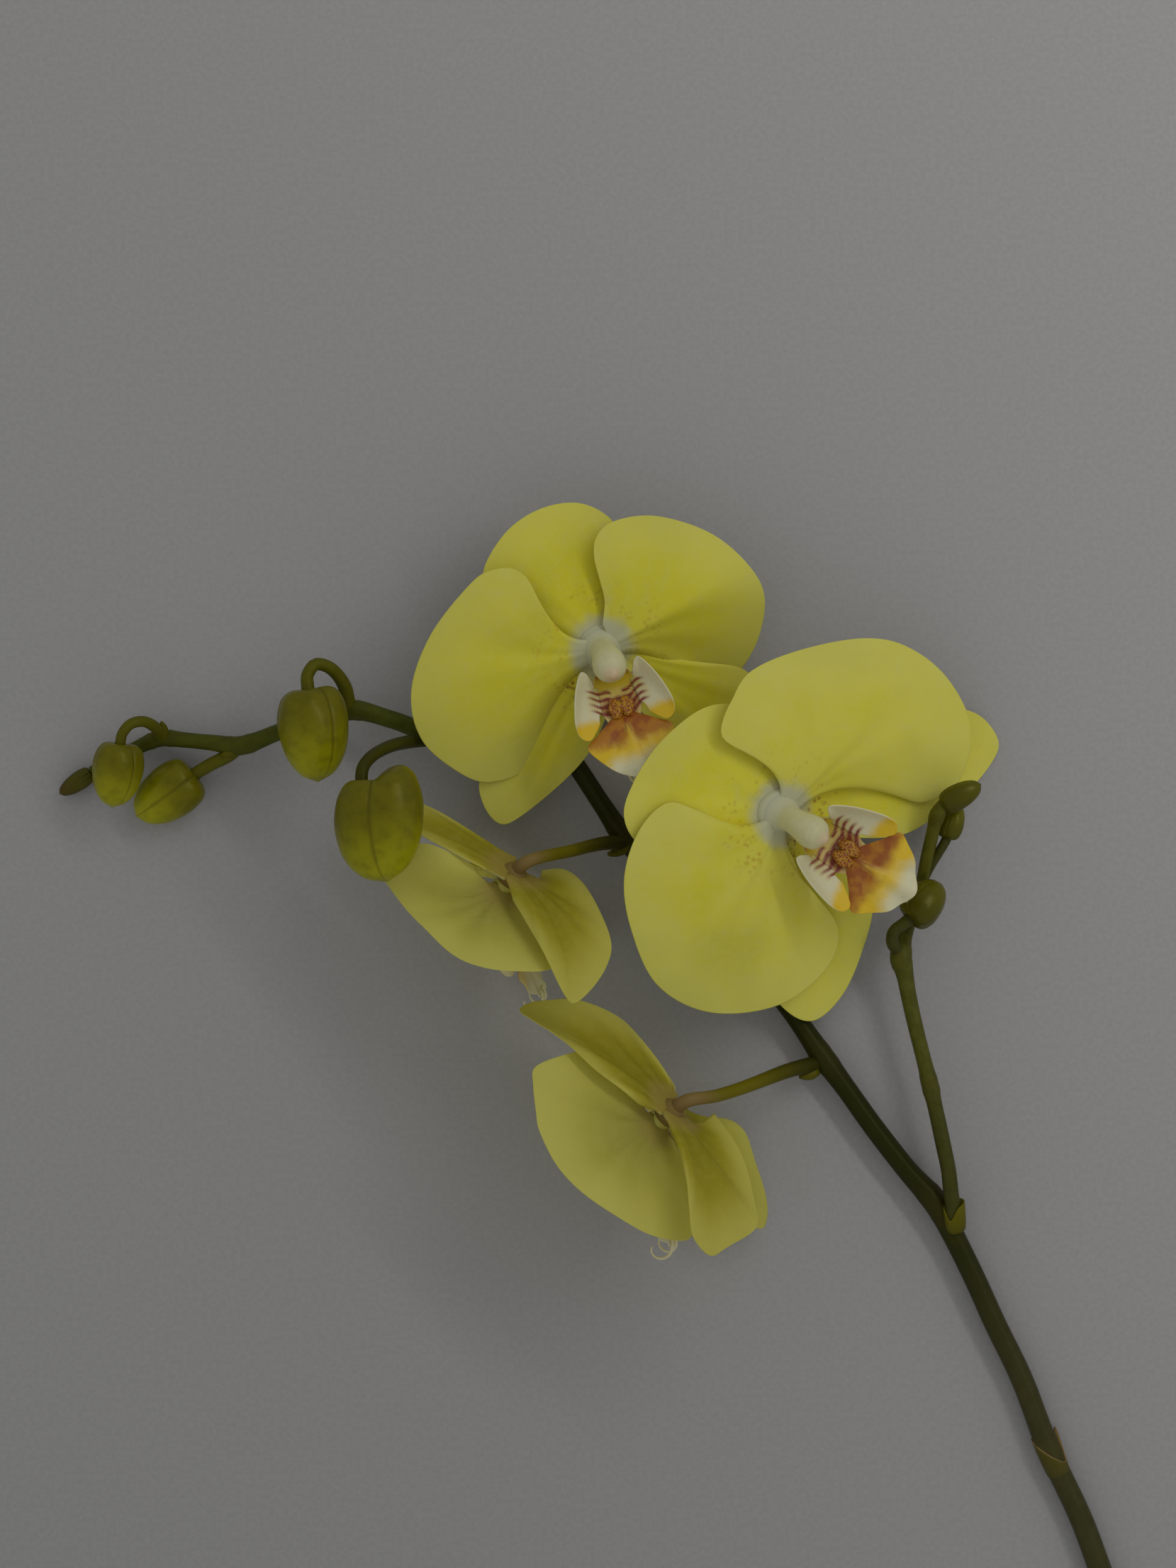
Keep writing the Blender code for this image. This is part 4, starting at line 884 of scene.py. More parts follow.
LIP_EDGES = 520.0             # blotches to a metre that break the edges of the colours
LIP_EDGE_DETAIL = 3.0
LIP_EDGE_SPREAD = 0.5
LIP_BLOTCHES = (300.0, 2.0, 0.4, 0.62)
LIP_DOTS = (2000.0, 0.25, 0.65)
GOLD_RANGE = (0.0, 1.0)       # of its mask, from none of the gold to all of it
BROWN_RANGE = (0.1, 0.95)
LIP_ROUGHNESS = 0.42
LIP_GLOW = (0.12, (1.0, 0.7, 0.4), 1.0 * MM)
LIP_GRAIN = 2200.0
LIP_RELIEF = 0.08 * MM
LIP_WHITE = (0.80, 0.76, 0.48)
# Partly the lip's own green and partly painted shade, in the hollow under the column and on the side
# lobes' inner faces
LIP_GREEN_AND_SHADE = (0.50, 0.44, 0.035)
LIP_GOLD = (0.86, 0.58, 0.01)
LIP_RED = (0.36, 0.095, 0.006)
LIP_BROWN = (0.50, 0.20, 0.006)
LIP_DARK = (0.26, 0.028, 0.014)
lip_material = lip_finish()

# %% Sizes of the lip and column
# Places in the flower's own frame: millimetres to its right, up and to its front
COLUMN_AXIS = [(0.0, -0.2, 0.2), (0.0, -0.3, 2.7), (0.0, -0.6, 6.0), (0.0, -1.4, 8.6),
               (0.0, -2.8, 11.0), (0.0, -3.9, 13.0), (0.0, -4.6, 14.4)]
COLUMN_RADII = [5.0, 3.3, 3.0, 3.3, 3.8, 3.5, 0.6]
COLUMN_RADII_BEHIND = [2.6, 2.8, *COLUMN_RADII[2:]]   # of the flowers that are seen from behind
LIP_CLAW = [(0.0, -2.2, 1.0), (0.0, -6.8, 3.6), (0.0, -9.8, 6.0), (0.0, -13.4, 9.0)]
LIP_CLAW_RADII = [1.3, 1.3, 1.1, 1.1]
LIP_CLAW_SIDES = 24
LIP_CLAW_STEP = 0.5
CALLUS_CENTRE = (1.3, -12.4, 11.0)
CALLUS_AXIS = (0.0, -0.8, 0.6)
CALLUS_LENGTH = 2.6
CALLUS_RADIUS = 1.45
CALLUS_RINGS = 24
CALLUS_SIDES = 36
CALLUS_KNOBS = (0.14, 0.10)   # heights of its two sines, as shares of the radius
MIDLOBE_ROOT = (0.0, -12.9, 9.9)
MIDLOBE_RIM = [
    (-3.2, -14.6, 11.4), (-6.8, -16.6, 13.6), (-10.0, -18.6, 15.0), (-8.4, -21.8, 16.4),
    (-5.0, -25.4, 18.0), (-1.8, -27.2, 18.8), (1.8, -27.2, 18.8), (5.0, -25.4, 18.0),
    (8.4, -21.8, 16.4), (10.0, -18.6, 15.0), (6.8, -16.6, 13.6), (3.2, -14.6, 11.4)]
SIDE_LOBE_ROOT = (4.3, -9.6, 8.6)
SIDE_LOBE_RIM = [
    (4.8, -5.3, 9.0), (5.5, -3.2, 10.0), (6.6, -2.3, 10.6), (7.9, -3.7, 11.6), (9.4, -6.5, 13.1),
    (10.5, -9.4, 14.8), (11.3, -12.8, 16.2), (11.0, -15.6, 16.6), (9.2, -17.0, 16.0),
    (7.4, -16.0, 14.4), (5.8, -14.6, 12.6)]
SIDE_LOBE_FOOT = (0.12, -0.84, 0.53)   # direction of its foot's line
SIDE_LOBE_BACK = (0.8, 0.4, -0.45)    # direction it bulges to
SIDE_LOBE_CLAW = 7.0
SIDE_LOBE_CROWN = 1.4
MIDLOBE_CROWN = 0.8
MIDLOBE_RIB = 0.7
THROAT_START = (-4.4, 4.4)    # the trough's upper end, up and to the front
THROAT_RUN = (-10.6, 7.2)     # from there to its other end
THROAT_WIDTH = (2.6, 3.6)     # half of it at the upper end, and how much more it becomes
THROAT_SIDES = 2.2            # how high its sides are raised
THROAT_FLOOR = 0.8            # how far its floor sinks
RUFFLE = 0.8                  # height of the waves at the middle lobe's end
RUFFLE_WAVES = 6
MIDLOBE_EDGE = -19.6          # how far down the middle lobe turns red-brown
STRIPE_LEVELS = (-14.6, -13.2, -11.7, -10.2)
STRIPE_RISE = 0.42            # how far a stripe rises for each millimetre outwards
STRIPE_WIDTH = 0.33
STRIPE_WAVER = 0.3
STRIPE_STRENGTH = 1.25
LOBE_THICKNESS = 0.8
LOBE_RIM = 0.35               # a lobe's thickness at its rim, as a share
LOBE_BACK_SHARE = 0.3         # of the colours' strength on a lobe's back
LOBE_CLAW = 2.6
LOBE_ROWS = 28
LOBE_COLUMNS = 72
TENDRIL_START = (1.1, -25.6, 18.1)
TENDRIL_RADIUS = 0.45
TENDRIL_SPREAD = (2.2, -1.5)  # how far they run aside and on, apart from their curl
TENDRIL_CURL = 2.7            # radius of their curl
TENDRIL_TURN = 4.2            # how far they curl, in radians
TENDRIL_RINGS = 40
TENDRIL_SIDES = 12
# Masks: gold, brown, dark red and green, the green partly painted shade
LIP_CLAW_MASKS = (0.1, 0.1, 0.3, 0.8)
CALLUS_MASKS = (0.9, 0.45, 1.6, 0.0)
TENDRIL_MASKS = (0.2, 0.0, 0.0, 0.0)


# %% Lip
def throat_surface():
    """The trough between the side lobes: a sloping line, widened, with its sides raised as t squared.

    The sides sink again towards the end, where the trough meets the middle lobe, and its floor sinks by
    sin(pi s) on the way.
    """
    s = np.linspace(0, 1, LOBE_ROWS + 1)[:, None]
    t = np.linspace(-1, 1, LOBE_COLUMNS + 1)[None, :]
    wider = THROAT_WIDTH[1] * np.sin(np.pi * np.clip(s, 0, 0.8) / 1.3)
    width = (THROAT_WIDTH[0] + wider) * (1 - 0.35 * ease(s, 0.6, 1.0))
    raised = THROAT_SIDES * t ** 2 * (1 - ease(s, 0.55, 1.0)) - THROAT_FLOOR * np.sin(np.pi * s)
    x = width * t
    y = THROAT_START[0] + THROAT_RUN[0] * s + 0.45 * raised
    z = THROAT_START[1] + THROAT_RUN[1] * s + 0.8 * raised
    return np.stack([x, y, z], axis=-1)


def stripes(x, y):
    """Dark lines beside the callus: bells across lines that rise outwards, waver and fade out."""
    side = np.abs(x)
    waver = STRIPE_WAVER * np.sin(1.3 * side + np.sign(x))
    lines = sum(hump(y - STRIPE_RISE * side - waver, level, STRIPE_WIDTH) for level in STRIPE_LEVELS)
    return STRIPE_STRENGTH * lines * ease(side, 0.9, 1.8) * (1 - ease(side, 5.2, 7.6))


def lobe_shell(surface, front, gold, brown, dark, green):
    """A lobe's blade with its four masks, which are faint on the back face."""
    four = np.stack(np.broadcast_arrays(gold, brown, dark, green), axis=-1).reshape(-1, 4)
    points, triangles, uv, _ = blade_shell(surface, front, LOBE_THICKNESS, LOBE_RIM)
    return points, triangles, uv, np.concatenate([four, LOBE_BACK_SHARE * four])


def callus_shell(hand):
    """One of the callus's two lumps: a ball drawn out along its axis, knobbly by two sines."""
    t = np.linspace(0.04, np.pi - 0.04, CALLUS_RINGS)[:, None]
    centre = np.array(CALLUS_CENTRE) * (hand, 1, 1)
    path = centre - np.cos(t) * unit(np.array(CALLUS_AXIS)) * CALLUS_LENGTH
    angles = np.linspace(0, 2 * np.pi, CALLUS_SIDES, endpoint=False)[None, :]
    high, low = CALLUS_KNOBS
    knobs = 1 + high * np.cos(3 * angles + 2 * t) + low * np.cos(5 * angles - 4 * t)
    rings = rings_along(path, CALLUS_RADIUS * np.sin(t) * knobs, CALLUS_SIDES)
    return ring_shell(rings, CALLUS_MASKS)


def throat_shell():
    """The throat: green above and brown at its start, both partly painted shade under the column, brown
    in a band, dark red stripes and, below, dots.
    """
    surface = throat_surface()
    x, y = surface[..., 0], surface[..., 1]
    dark = np.clip(stripes(x, y) + 1.7 * hump(x, 0, 2.4) * ease(-y, 10.0, 11.5), 0, 2)
    # The brown at the throat's start and the green of its upper part are partly painted shade in the
    # gap under the column
    brown = 0.8 * (1 - ease(-y, 4.5, 7.0)) + 0.55 * hump(y, -12.5, 2.4)
    green = 1 - 0.9 * ease(-y, 7.5, 11.0)
    return lobe_shell(surface, (0, 0.6, 0.8), 0.5, brown, dark, green)


def middle_lobe():
    """The middle lobe: brown above an edge that rises outwards, but for a wedge, and gold about it.

    Two thin dark lines part along the middle. Waves of its end: six sines along the rim times u to the
    4th times a wide bell.
    """
    front = np.array([0, 0, 1.0])
    surface = blade_surface(np.array(MIDLOBE_ROOT), np.array(MIDLOBE_RIM), np.array([LOBE_CLAW, 0, 0]),
                            LOBE_ROWS, LOBE_COLUMNS, front, MIDLOBE_CROWN, MIDLOBE_RIB)
    u, v = shares(LOBE_ROWS, LOBE_COLUMNS)
    ruffle = RUFFLE * u ** 4 * np.sin(2 * np.pi * RUFFLE_WAVES * v + 1.0) * hump(v, 0.5, 0.25)
    surface = surface + front * ruffle[..., None]
    x, y = surface[..., 0], surface[..., 1]
    edge = MIDLOBE_EDGE + 0.10 * np.abs(x)
    wedge = hump(x, 0, 1.1) * (1 - ease(y, -17.0, -14.0))
    brown = 1.1 * ease(y, edge - 3.4, edge + 2.2) * (1 - 0.6 * wedge)
    gold = 0.85 * ease(y, edge - 6.4, edge - 1.4) + 0.5 * ease(np.abs(x), 4.0, 8.0)
    dark = 0.6 * hump(np.abs(x), 0.55 * ease(-y, 14.0, 19.0), 0.22) * ease(y, -19.0, -16.5)
    return lobe_shell(surface, front, gold, brown, dark, 0)


def side_lobe(mirror):
    """A side lobe: green, partly painted shade on its inner face, and striped near its foot, gold
    towards its lower end.
    """
    back = SIDE_LOBE_BACK * mirror
    surface = blade_surface(SIDE_LOBE_ROOT * mirror, SIDE_LOBE_RIM * mirror,
                            np.array(SIDE_LOBE_FOOT) * mirror * SIDE_LOBE_CLAW, LOBE_ROWS,
                            LOBE_COLUMNS, back, SIDE_LOBE_CROWN)
    u, _ = shares(LOBE_ROWS, LOBE_COLUMNS)
    x, y = surface[..., 0], surface[..., 1]
    gold = ease(-y + 0.2 * np.abs(x), 13.6, 16.8) + 0.25 * (1 - ease(u, 0.15, 0.5))
    dark = np.minimum(stripes(x, y), 1) * (1 - ease(u, 0.45, 0.7))
    # Painted shade together with the lobe's own green, on its steep inner face near the foot
    green = 0.6 * (1 - ease(u, 0.1, 0.4)) * (1 - ease(-y, 8.0, 11.0))
    return lobe_shell(surface, -back, gold, 0, dark, green)


def tendril(mirror, curl):
    """A tendril: part of a circle, drawn out aside and on, and ever thinner."""
    t = np.linspace(0, 1, TENDRIL_RINGS)
    bend = TENDRIL_TURN * t
    run = np.stack([TENDRIL_SPREAD[0] * t, TENDRIL_SPREAD[1] * t - TENDRIL_CURL * np.sin(bend),
                    curl * TENDRIL_CURL * (1 - np.cos(bend))], axis=1)
    radii = TENDRIL_RADIUS * (1.2 - 0.8 * t)
    return ring_shell(rings_along((TENDRIL_START + run) * mirror, radii, TENDRIL_SIDES), TENDRIL_MASKS)


def lip_shells(curl):
    """The lip in the flower's own frame: claw, callus, throat, middle lobe, side lobes, tendrils."""
    claw = stalk_shell(np.array(LIP_CLAW), LIP_CLAW_RADII, LIP_CLAW_SIDES, LIP_CLAW_STEP,
                       LIP_CLAW_MASKS)
    shells = [claw, callus_shell(-1), callus_shell(1), throat_shell(), middle_lobe()]
    for hand in (-1, 1):
        mirror = np.array([hand, 1, 1])
        shells += [side_lobe(mirror), tendril(mirror, curl)]
    return shells


def build_lip(name, flower, axes):
    """A flower's lip: the lip's shells at the flower's own size, set in its frame."""
    _, size, curl = flower["lip"]
    shells = [(in_flower(flower, axes, points * size), *rest) for points, *rest in lip_shells(curl)]
    make_piece(f"{name}_lip_lobes", shells, f"{name}_lip", lip_material)


def nodded(flower, axes):
    """The frame of the lip and column, turned down about the flower's right by the angle of the nod."""
    nod = np.radians(flower["lip"][0])
    tilt = np.array([[1, 0, 0], [0, np.cos(nod), -np.sin(nod)], [0, np.sin(nod), np.cos(nod)]])
    return axes @ tilt


# %% Column
def column_finish():
    """Cream, white or yellow at the foot, pink at the anther cap, red-brown in the hollow under it."""
    material, tree, shader = new_material("column_cream")
    position, foot, cap, hollow, yellow = place_and_masks(tree)
    blotches = pattern(tree, position, *COLUMN_BLOTCHES)
    colour = layers(tree, COLUMN_CREAM, (blotches, [COLUMN_UNEVEN * c for c in COLUMN_CREAM]),
                    (foot, COLUMN_FOOT), (cap, ANTHER_PINK), (hollow, HOLLOW_RED), (yellow, PETAL_BACK))
    tree.links.new(colour, shader.inputs["Base Color"])
    gloss(shader, COLUMN_ROUGHNESS)
    under_skin(shader, *COLUMN_GLOW)
    bump(tree, shader, noise(tree, position, COLUMN_GRAIN), COLUMN_RELIEF)
    return material


COLUMN_BLOTCHES = (500.0, 2.0, 0.35, 0.7)
COLUMN_UNEVEN = 0.95          # how bright the blotches are, as a share
COLUMN_ROUGHNESS = 0.4
COLUMN_GLOW = (0.15, (1.0, 0.8, 0.5), 1.0 * MM)
COLUMN_GRAIN = 1800.0
COLUMN_RELIEF = 0.06 * MM
COLUMN_CREAM = (0.71, 0.685, 0.38)
COLUMN_FOOT = (0.63, 0.63, 0.42)
ANTHER_PINK = (0.78, 0.56, 0.34)
HOLLOW_RED = (0.32, 0.12, 0.04)
column_material = column_finish()
MOUND_LEVEL = -1.2            # of the foot's middle, in millimetres to the flower's front
MOUND_HEIGHT = 3.2
MOUND_RADIUS = 5.6
MOUND_RINGS = 24
MOUND_MASKS = (1.0, 0.0, 0.0, 0.0)
COLUMN_RINGS = 60
COLUMN_SIDES = 48
PALE_FOOT = (0.05, 0.35)      # where the pale foot fades, along the column
YELLOW_FOOT = (0.35, 0.55)    # and the yellow one of the flowers that are seen from behind
CAP_PART = (0.88, 1.0)
CAP_PINKNESS = 0.8
GROOVE = (0.04, 0.80, 0.04)   # its depth as a share of the radius, its place and its reach
HOLLOW = (0.72, 0.09)         # its place along the column and its reach
HOLLOW_DEPTH = 1.3 * MM
HOLLOW_SIDE = (0.0, -0.85, 0.5)   # where the hollow lies, in the flower's own frame


def foot_mound(flower, axes):
    """The column's foot, a flat ball that joins the claws: rings at a sine's height, a cosine wide."""
    t = np.linspace(-0.5, 0.98, MOUND_RINGS) * np.pi / 2
    path = in_flower(flower, axes, np.outer(MOUND_LEVEL + MOUND_HEIGHT * np.sin(t), (0, 0, 1.0)))
    return ring_shell(rings_along(path, MOUND_RADIUS * MM * np.cos(t), COLUMN_SIDES), MOUND_MASKS)


def build_column(name, flower, axes):
    """The column: a stalk that swells into a cap, with a groove between the two and a hollow below.

    The radius follows the given radii along the axis. A narrow bell takes it in at the groove, and a
    bell in both directions presses the hollow into the lower side.
    """
    path = curve_through(in_flower(flower, axes, COLUMN_AXIS), COLUMN_RINGS)
    t = np.linspace(0, 1, COLUMN_RINGS + 1)
    radii = COLUMN_RADII if flower["leaning"] else COLUMN_RADII_BEHIND
    radius = curve_through(np.stack([np.linspace(0, 1, len(radii)), radii], 1), COLUMN_RINGS)
    radius = np.interp(t, radius[:, 0], radius[:, 1]) * MM
    radius = radius * (1 - GROOVE[0] * hump(t, *GROOVE[1:]))
    rings = rings_along(path, radius, COLUMN_SIDES)
    outward = units(rings - path[:, None, :])
    below = np.clip(outward @ (axes @ HOLLOW_SIDE), 0, 1)
    hollow = hump(t[:, None], *HOLLOW) * below ** 6
    rings = rings - outward * hollow[..., None] * HOLLOW_DEPTH
    masks = np.zeros((*rings.shape[:2], 4))
    masks[..., 0] = 1 - ease(t, *PALE_FOOT)[:, None]
    masks[..., 1] = ease(t, *CAP_PART)[:, None] * CAP_PINKNESS
    masks[..., 2] = hollow
    masks[..., 3] = 0.0 if flower["leaning"] else 1 - ease(t, *YELLOW_FOOT)[:, None]
    shells = [ring_shell(rings, masks)]
    if flower["leaning"]:
        shells.append(foot_mound(flower, axes))
    make_piece(f"{name}_column_body", shells, f"{name}_column", column_material)


for name, flower in FLOWERS.items():
    axes = nodded(flower, flower_frame(flower))
    build_lip(name, flower, axes)
    build_column(name, flower, axes)
    print(name, "has its lip and column")

# %% [markdown]
# ## Stem and stalks
# The main stem bends a little at each node, where a thin scale, the bract, hugs it and a flower's or
# bud's stalk starts. Tubes along smooth curves are all it takes. A real stalk grows out of the stem
# with a thickened foot, so its radii start wide and it is sunk well into the stem. At the lowest node
# and at the side branch's foot the scale wraps right round as a sheath, so it is a sleeve whose rim
# slants.

# %% Landmarks of the stem
# The main stem, from its cut to the tip. It bends at its nodes
MAIN_STEM = [
    (1675, 2535, 2.62), (1608, 2370, 2.8), (1551, 2212, 2.9), (1523, 2138, 3.0), (1479, 2044, 3.2),
    (1442, 1947, 3.4), (1404, 1868, 3.7), (1374, 1802, 4.0), (1346, 1745, 4.2), (1322, 1699, 4.4),
    (1279, 1650, 4.5), (1233, 1591, 4.6), (1193, 1535, 4.7), (1157, 1486, 4.7), (1115, 1425, 4.6),
    (1060, 1355, 4.8), (1010, 1306, 5.2), (945, 1248, 6.0), (886, 1188, 7.0), (851, 1138, 7.8),
    (817, 1086, 8.4), (785, 1040, 8.9), (742, 1014, 9.3), (690, 1024, 10.2), (620, 1040, 11.4),
    (582, 1026, 11.8), (548, 1014, 12.0), (496, 1002, 11.8), (440, 1018, 11.0), (393, 1033, 10.2),
    (341, 1052, 9.0), (300, 1048, 7.8), (260, 1044, 6.4), (226, 1042, 5.2), (193, 1055, 4.2),
    (160, 1072, 3.4), (130, 1089, 2.7)]
MAIN_STEM_RADII = [2.75, 2.75, 2.7, 2.65, 2.6, 2.55, 2.5, 2.4, 2.3, 2.25, 2.2, 2.15, 2.1, 2.05, 1.95,
                   1.75, 1.35]

# Swollen nodes of the main stem: landmark, extra radius and reach in millimetres
STEM_NODES = [
    ((1479, 2044, 3.2), 0.15, 4.0), ((1322, 1699, 4.4), 0.5, 6.0), ((1152, 1500, 4.7), 0.4, 5.5),
    ((1010, 1306, 5.2), 0.3, 5.0), ((880, 1180, 7.0), 0.4, 5.5), ((750, 1014, 9.3), 0.3, 5.0),
    ((620, 1038, 11.4), 0.3, 5.0), ((492, 1000, 11.8), 0.35, 5.0), ((338, 1052, 9.0), 0.4, 5.0),
    ((226, 1042, 5.2), 0.3, 5.0)]

# Stalks that grow from the main stem: route and radii in millimetres. A flower's stalk ends at its hub.
FLOWER_STALKS = {
    "flower_1": ([(750, 1014, 9.3), (766, 975, 7.5), (800, 938, 9.0), (834, 921, 13.0)],
                 [1.8, 1.7, 1.6, 1.7, 2.2]),
    "flower_2": ([(1010, 1306, 5.2), (1040, 1262, 5.0), (1072, 1205, 8.5), (1093, 1162, 16.0)],
                 [1.9, 1.8, 1.7, 1.8, 2.3]),
    "flower_3": ([(886, 1188, 7.0), (849, 1190, 14.0), (803, 1201, 24.0), (768, 1208, 30.5),
                  (743, 1216, 33.0)], [2.0, 1.8, 1.65, 1.6, 1.6, 1.9]),
    "flower_4": ([(1152, 1500, 4.7), (1110, 1511, 12.0), (1052, 1533, 22.0), (1010, 1546, 28.5),
                  (972, 1552, 32.5)], [2.1, 1.95, 1.8, 1.7, 1.65, 1.9])}
BUD_STALKS = {
    "bud_heart": ([(620, 1040, 11.4), (600, 1043, 12.0), (574, 1047, 18.0), (550, 1053, 26.0),
                   (527, 1065, 33.0), (513, 1081, 37.0), (510, 1098, 38.0), (513, 1117, 38.0)],
                  [1.8, 1.6, 1.5, 1.45, 1.4, 1.4, 1.5]),
    "bud_second": ([(492, 1000, 11.8), (486, 968, 15.5), (468, 944, 19.0), (446, 937, 21.0),
                    (434, 952, 22.0), (434, 968, 22.5), (436, 986, 22.7)],
                   [1.8, 1.65, 1.5, 1.45, 1.45, 1.6]),
    "bud_third": ([(226, 1042, 5.2), (221, 1028, 9.5), (204, 1018, 13.0), (185, 1021, 14.5),
                   (173, 1034, 14.8), (170, 1046, 14.6), (169, 1059, 14.3)],
                  [1.5, 1.4, 1.3, 1.25, 1.2, 1.25]),
    "bud_fourth": ([(338, 1052, 9.0), (322, 1066, 8.0), (300, 1077, 7.2), (286, 1085, 6.8),
                    (278, 1090, 6.6), (267, 1098, 6.4)], [1.7, 1.6, 1.55, 1.5, 1.55])}

# Bracts: scales that hug a node, by three landmarks along each and its half width in millimetres
BRACTS = [
    ([(1152, 1510, 5.4), (1140, 1517, 6.4), (1128, 1519, 7.4)], 1.4),
    ([(890, 1190, 7.8), (870, 1202, 8.6), (858, 1205, 9.4)], 1.5),
    ([(492, 1004, 12.0), (484, 984, 13.8), (479, 975, 14.8)], 1.5),
    ([(336, 1057, 8.6), (322, 1063, 9.2), (312, 1066, 9.6)], 1.4),
    ([(228, 1046, 5.6), (231, 1030, 7.6), (228, 1019, 9.6)], 1.3)]

# Sheaths: scales that wrap right round a node. Along: the places before, at and after it. Radius and
# foot, the height where it starts, are in millimetres. Rim: its mean height, its swing and the swing's
# angle. Tip: how far it stands above the rim, its angle and its reach. Angles count from the stem's
# right over its top. Flare: how far the tip stands off the stem. Tint: yellow, green and dry masks.
SHEATHS = [
    {"along": ((1523, 2138, 3.0), (1479, 2044, 3.2), (1442, 1947, 3.4)), "radius": 2.92, "foot": -7.0,
     "rim": (-0.2, -3.9, 0.35), "tip": (7.2, -0.35, 0.22), "flare": 0.9, "tint": (0.25, 0.0, 1.0)},
    {"along": ((1348, 1737, 5.0), (1347, 1716, 6.8), (1344, 1682, 8.6)), "radius": 2.55, "foot": -3.8,
     "rim": (3.3, 0.5, 0.0), "tip": (-3.0, 2.1, 0.28), "flare": 0.0, "tint": (0.7, 0.7, 0.0)}]
# A sheath from its foot to its rim and back inside: share of the height and of the radius
SHEATH_PROFILE = ((0.0, 0.72), (0.1, 0.90), (0.25, 0.96), (0.45, 0.99), (0.65, 1.0), (0.8, 1.0),
                  (0.9, 1.0), (0.96, 0.99), (1.0, 0.97), (1.0, 0.92), (0.9, 0.78))
SHEATH_SIDES = 120

# The side branch, its swellings and the stalks on it
SIDE_BRANCH = [
    (1346, 1735, 5.2), (1346, 1712, 7.4), (1342, 1685, 8.7), (1338, 1650, 9.2), (1331, 1616, 9.3),
    (1322, 1574, 9.4), (1312, 1530, 9.5), (1302, 1490, 9.7), (1292, 1450, 9.9), (1283, 1410, 10.1),
    (1276, 1372, 10.4), (1271, 1350, 10.8), (1276, 1322, 9.0), (1288, 1285, 7.2), (1300, 1248, 8.0),
    (1308, 1208, 11.2), (1318, 1165, 14.6), (1323, 1148, 15.8), (1330, 1135, 16.5), (1342, 1127, 16.9)]
SIDE_BRANCH_RADII = [2.0, 1.8, 1.75, 1.8, 1.75, 1.75, 1.75, 1.8, 1.9, 1.7, 1.6, 1.5, 1.5, 1.5, 1.2]
SIDE_NODES = [
    ((1312, 1530, 9.5), 0.3, 3.0), ((1270, 1349, 10.8), 0.8, 3.5), ((1321, 1150, 15.6), 0.45, 2.2)]
SIDE_STALKS = [
    ([(1301, 1242, 8.4), (1312, 1222, 9.6), (1324, 1203, 10.8), (1333, 1188, 11.4),
      (1338, 1177, 11.6)], [1.3, 1.15, 1.1, 1.15]),
    ([(1270, 1344, 10.8), (1259, 1330, 13.4), (1261, 1314, 15.4), (1275, 1303, 15.6),
      (1288, 1291, 15.4)], [1.6, 1.45, 1.4, 1.45])]


# %% Stem finish
def stem_finish(name, base, old, young, roughness):
    """A smooth green stem: mottled, with tints by masks.

    The first mask is nearness to a node and the second the yellow of a flower's stalk. The third goes
    from the base colour at 0 by the old green at a half to the young green at 1. The fourth is 1 at a
    stalk's pink end and 2 at the cut.
    """
    material, tree, shader = new_material(name)
    position, node, yellow, age, end = place_and_masks(tree)
    mottle = noise(tree, position, STEM_MOTTLE, MOTTLE_DETAIL)
    green = layers(tree, base, (ramp(tree, age, 0.0, 0.5), old), (ramp(tree, age, 0.5, 1.0), young))
    shade = mix(tree, SHADE_SHARE, green, STEM_SHADE)
    colour = layers(
        tree, green, (ramp(tree, mottle, *MOTTLE_RANGE), shade),
        (pattern(tree, position, *STEM_PATCHES), STEM_BROWN),
        (times(tree, node, NODE_TINT), STEM_BROWN), (yellow, STALK_YELLOW),
        (ramp(tree, end, 0.0, 1.0), STALK_PINK), (ramp(tree, end, 1.0, 2.0), CUT_PITH))
    tree.links.new(colour, shader.inputs["Base Color"])
    gloss(shader, roughness, *STEM_GLOSS)
    grain = times(tree, noise(tree, position, STEM_GRAIN), STEM_GRAIN_HEIGHT)
    bump(tree, shader, plus(tree, mottle, grain), STEM_RELIEF)
    return material


STEM_MOTTLE = 420.0           # blotches to a metre
MOTTLE_DETAIL = 4.0
MOTTLE_RANGE = (0.36, 0.66)   # where the mottling begins and is full
SHADE_SHARE = 0.3             # how much of the dark shade it has there
STEM_PATCHES = (90.0, 2.0, 0.5, 0.7, 0.2)
NODE_TINT = 0.25              # how much brown a node has
STEM_GLOSS = (0.2, (1.0, 1.0, 0.5))
STEM_GRAIN = 2400.0
STEM_GRAIN_HEIGHT = 0.4       # beside that of the mottling
STEM_RELIEF = 0.12 * MM
STEM_BASE = (0.058, 0.055, 0.020)
STEM_OLD = (0.018, 0.021, 0.002)
STEM_YOUNG = (0.075, 0.088, 0.005)
STEM_SHADE = (0.026, 0.026, 0.003)
STEM_BROWN = (0.080, 0.056, 0.008)
STALK_YELLOW = (0.20, 0.17, 0.003)
STALK_PINK = (0.27, 0.175, 0.065)
CUT_PITH = (0.30, 0.33, 0.12)
BRANCH_BASE = (0.063, 0.065, 0.012)
BRANCH_OLD = (0.105, 0.108, 0.015)
BRANCH_YOUNG = (0.120, 0.118, 0.010)
stem_material = stem_finish("stem_green", STEM_BASE, STEM_OLD, STEM_YOUNG, 0.42)
branch_material = stem_finish("branch_green", BRANCH_BASE, BRANCH_OLD, BRANCH_YOUNG, 0.4)

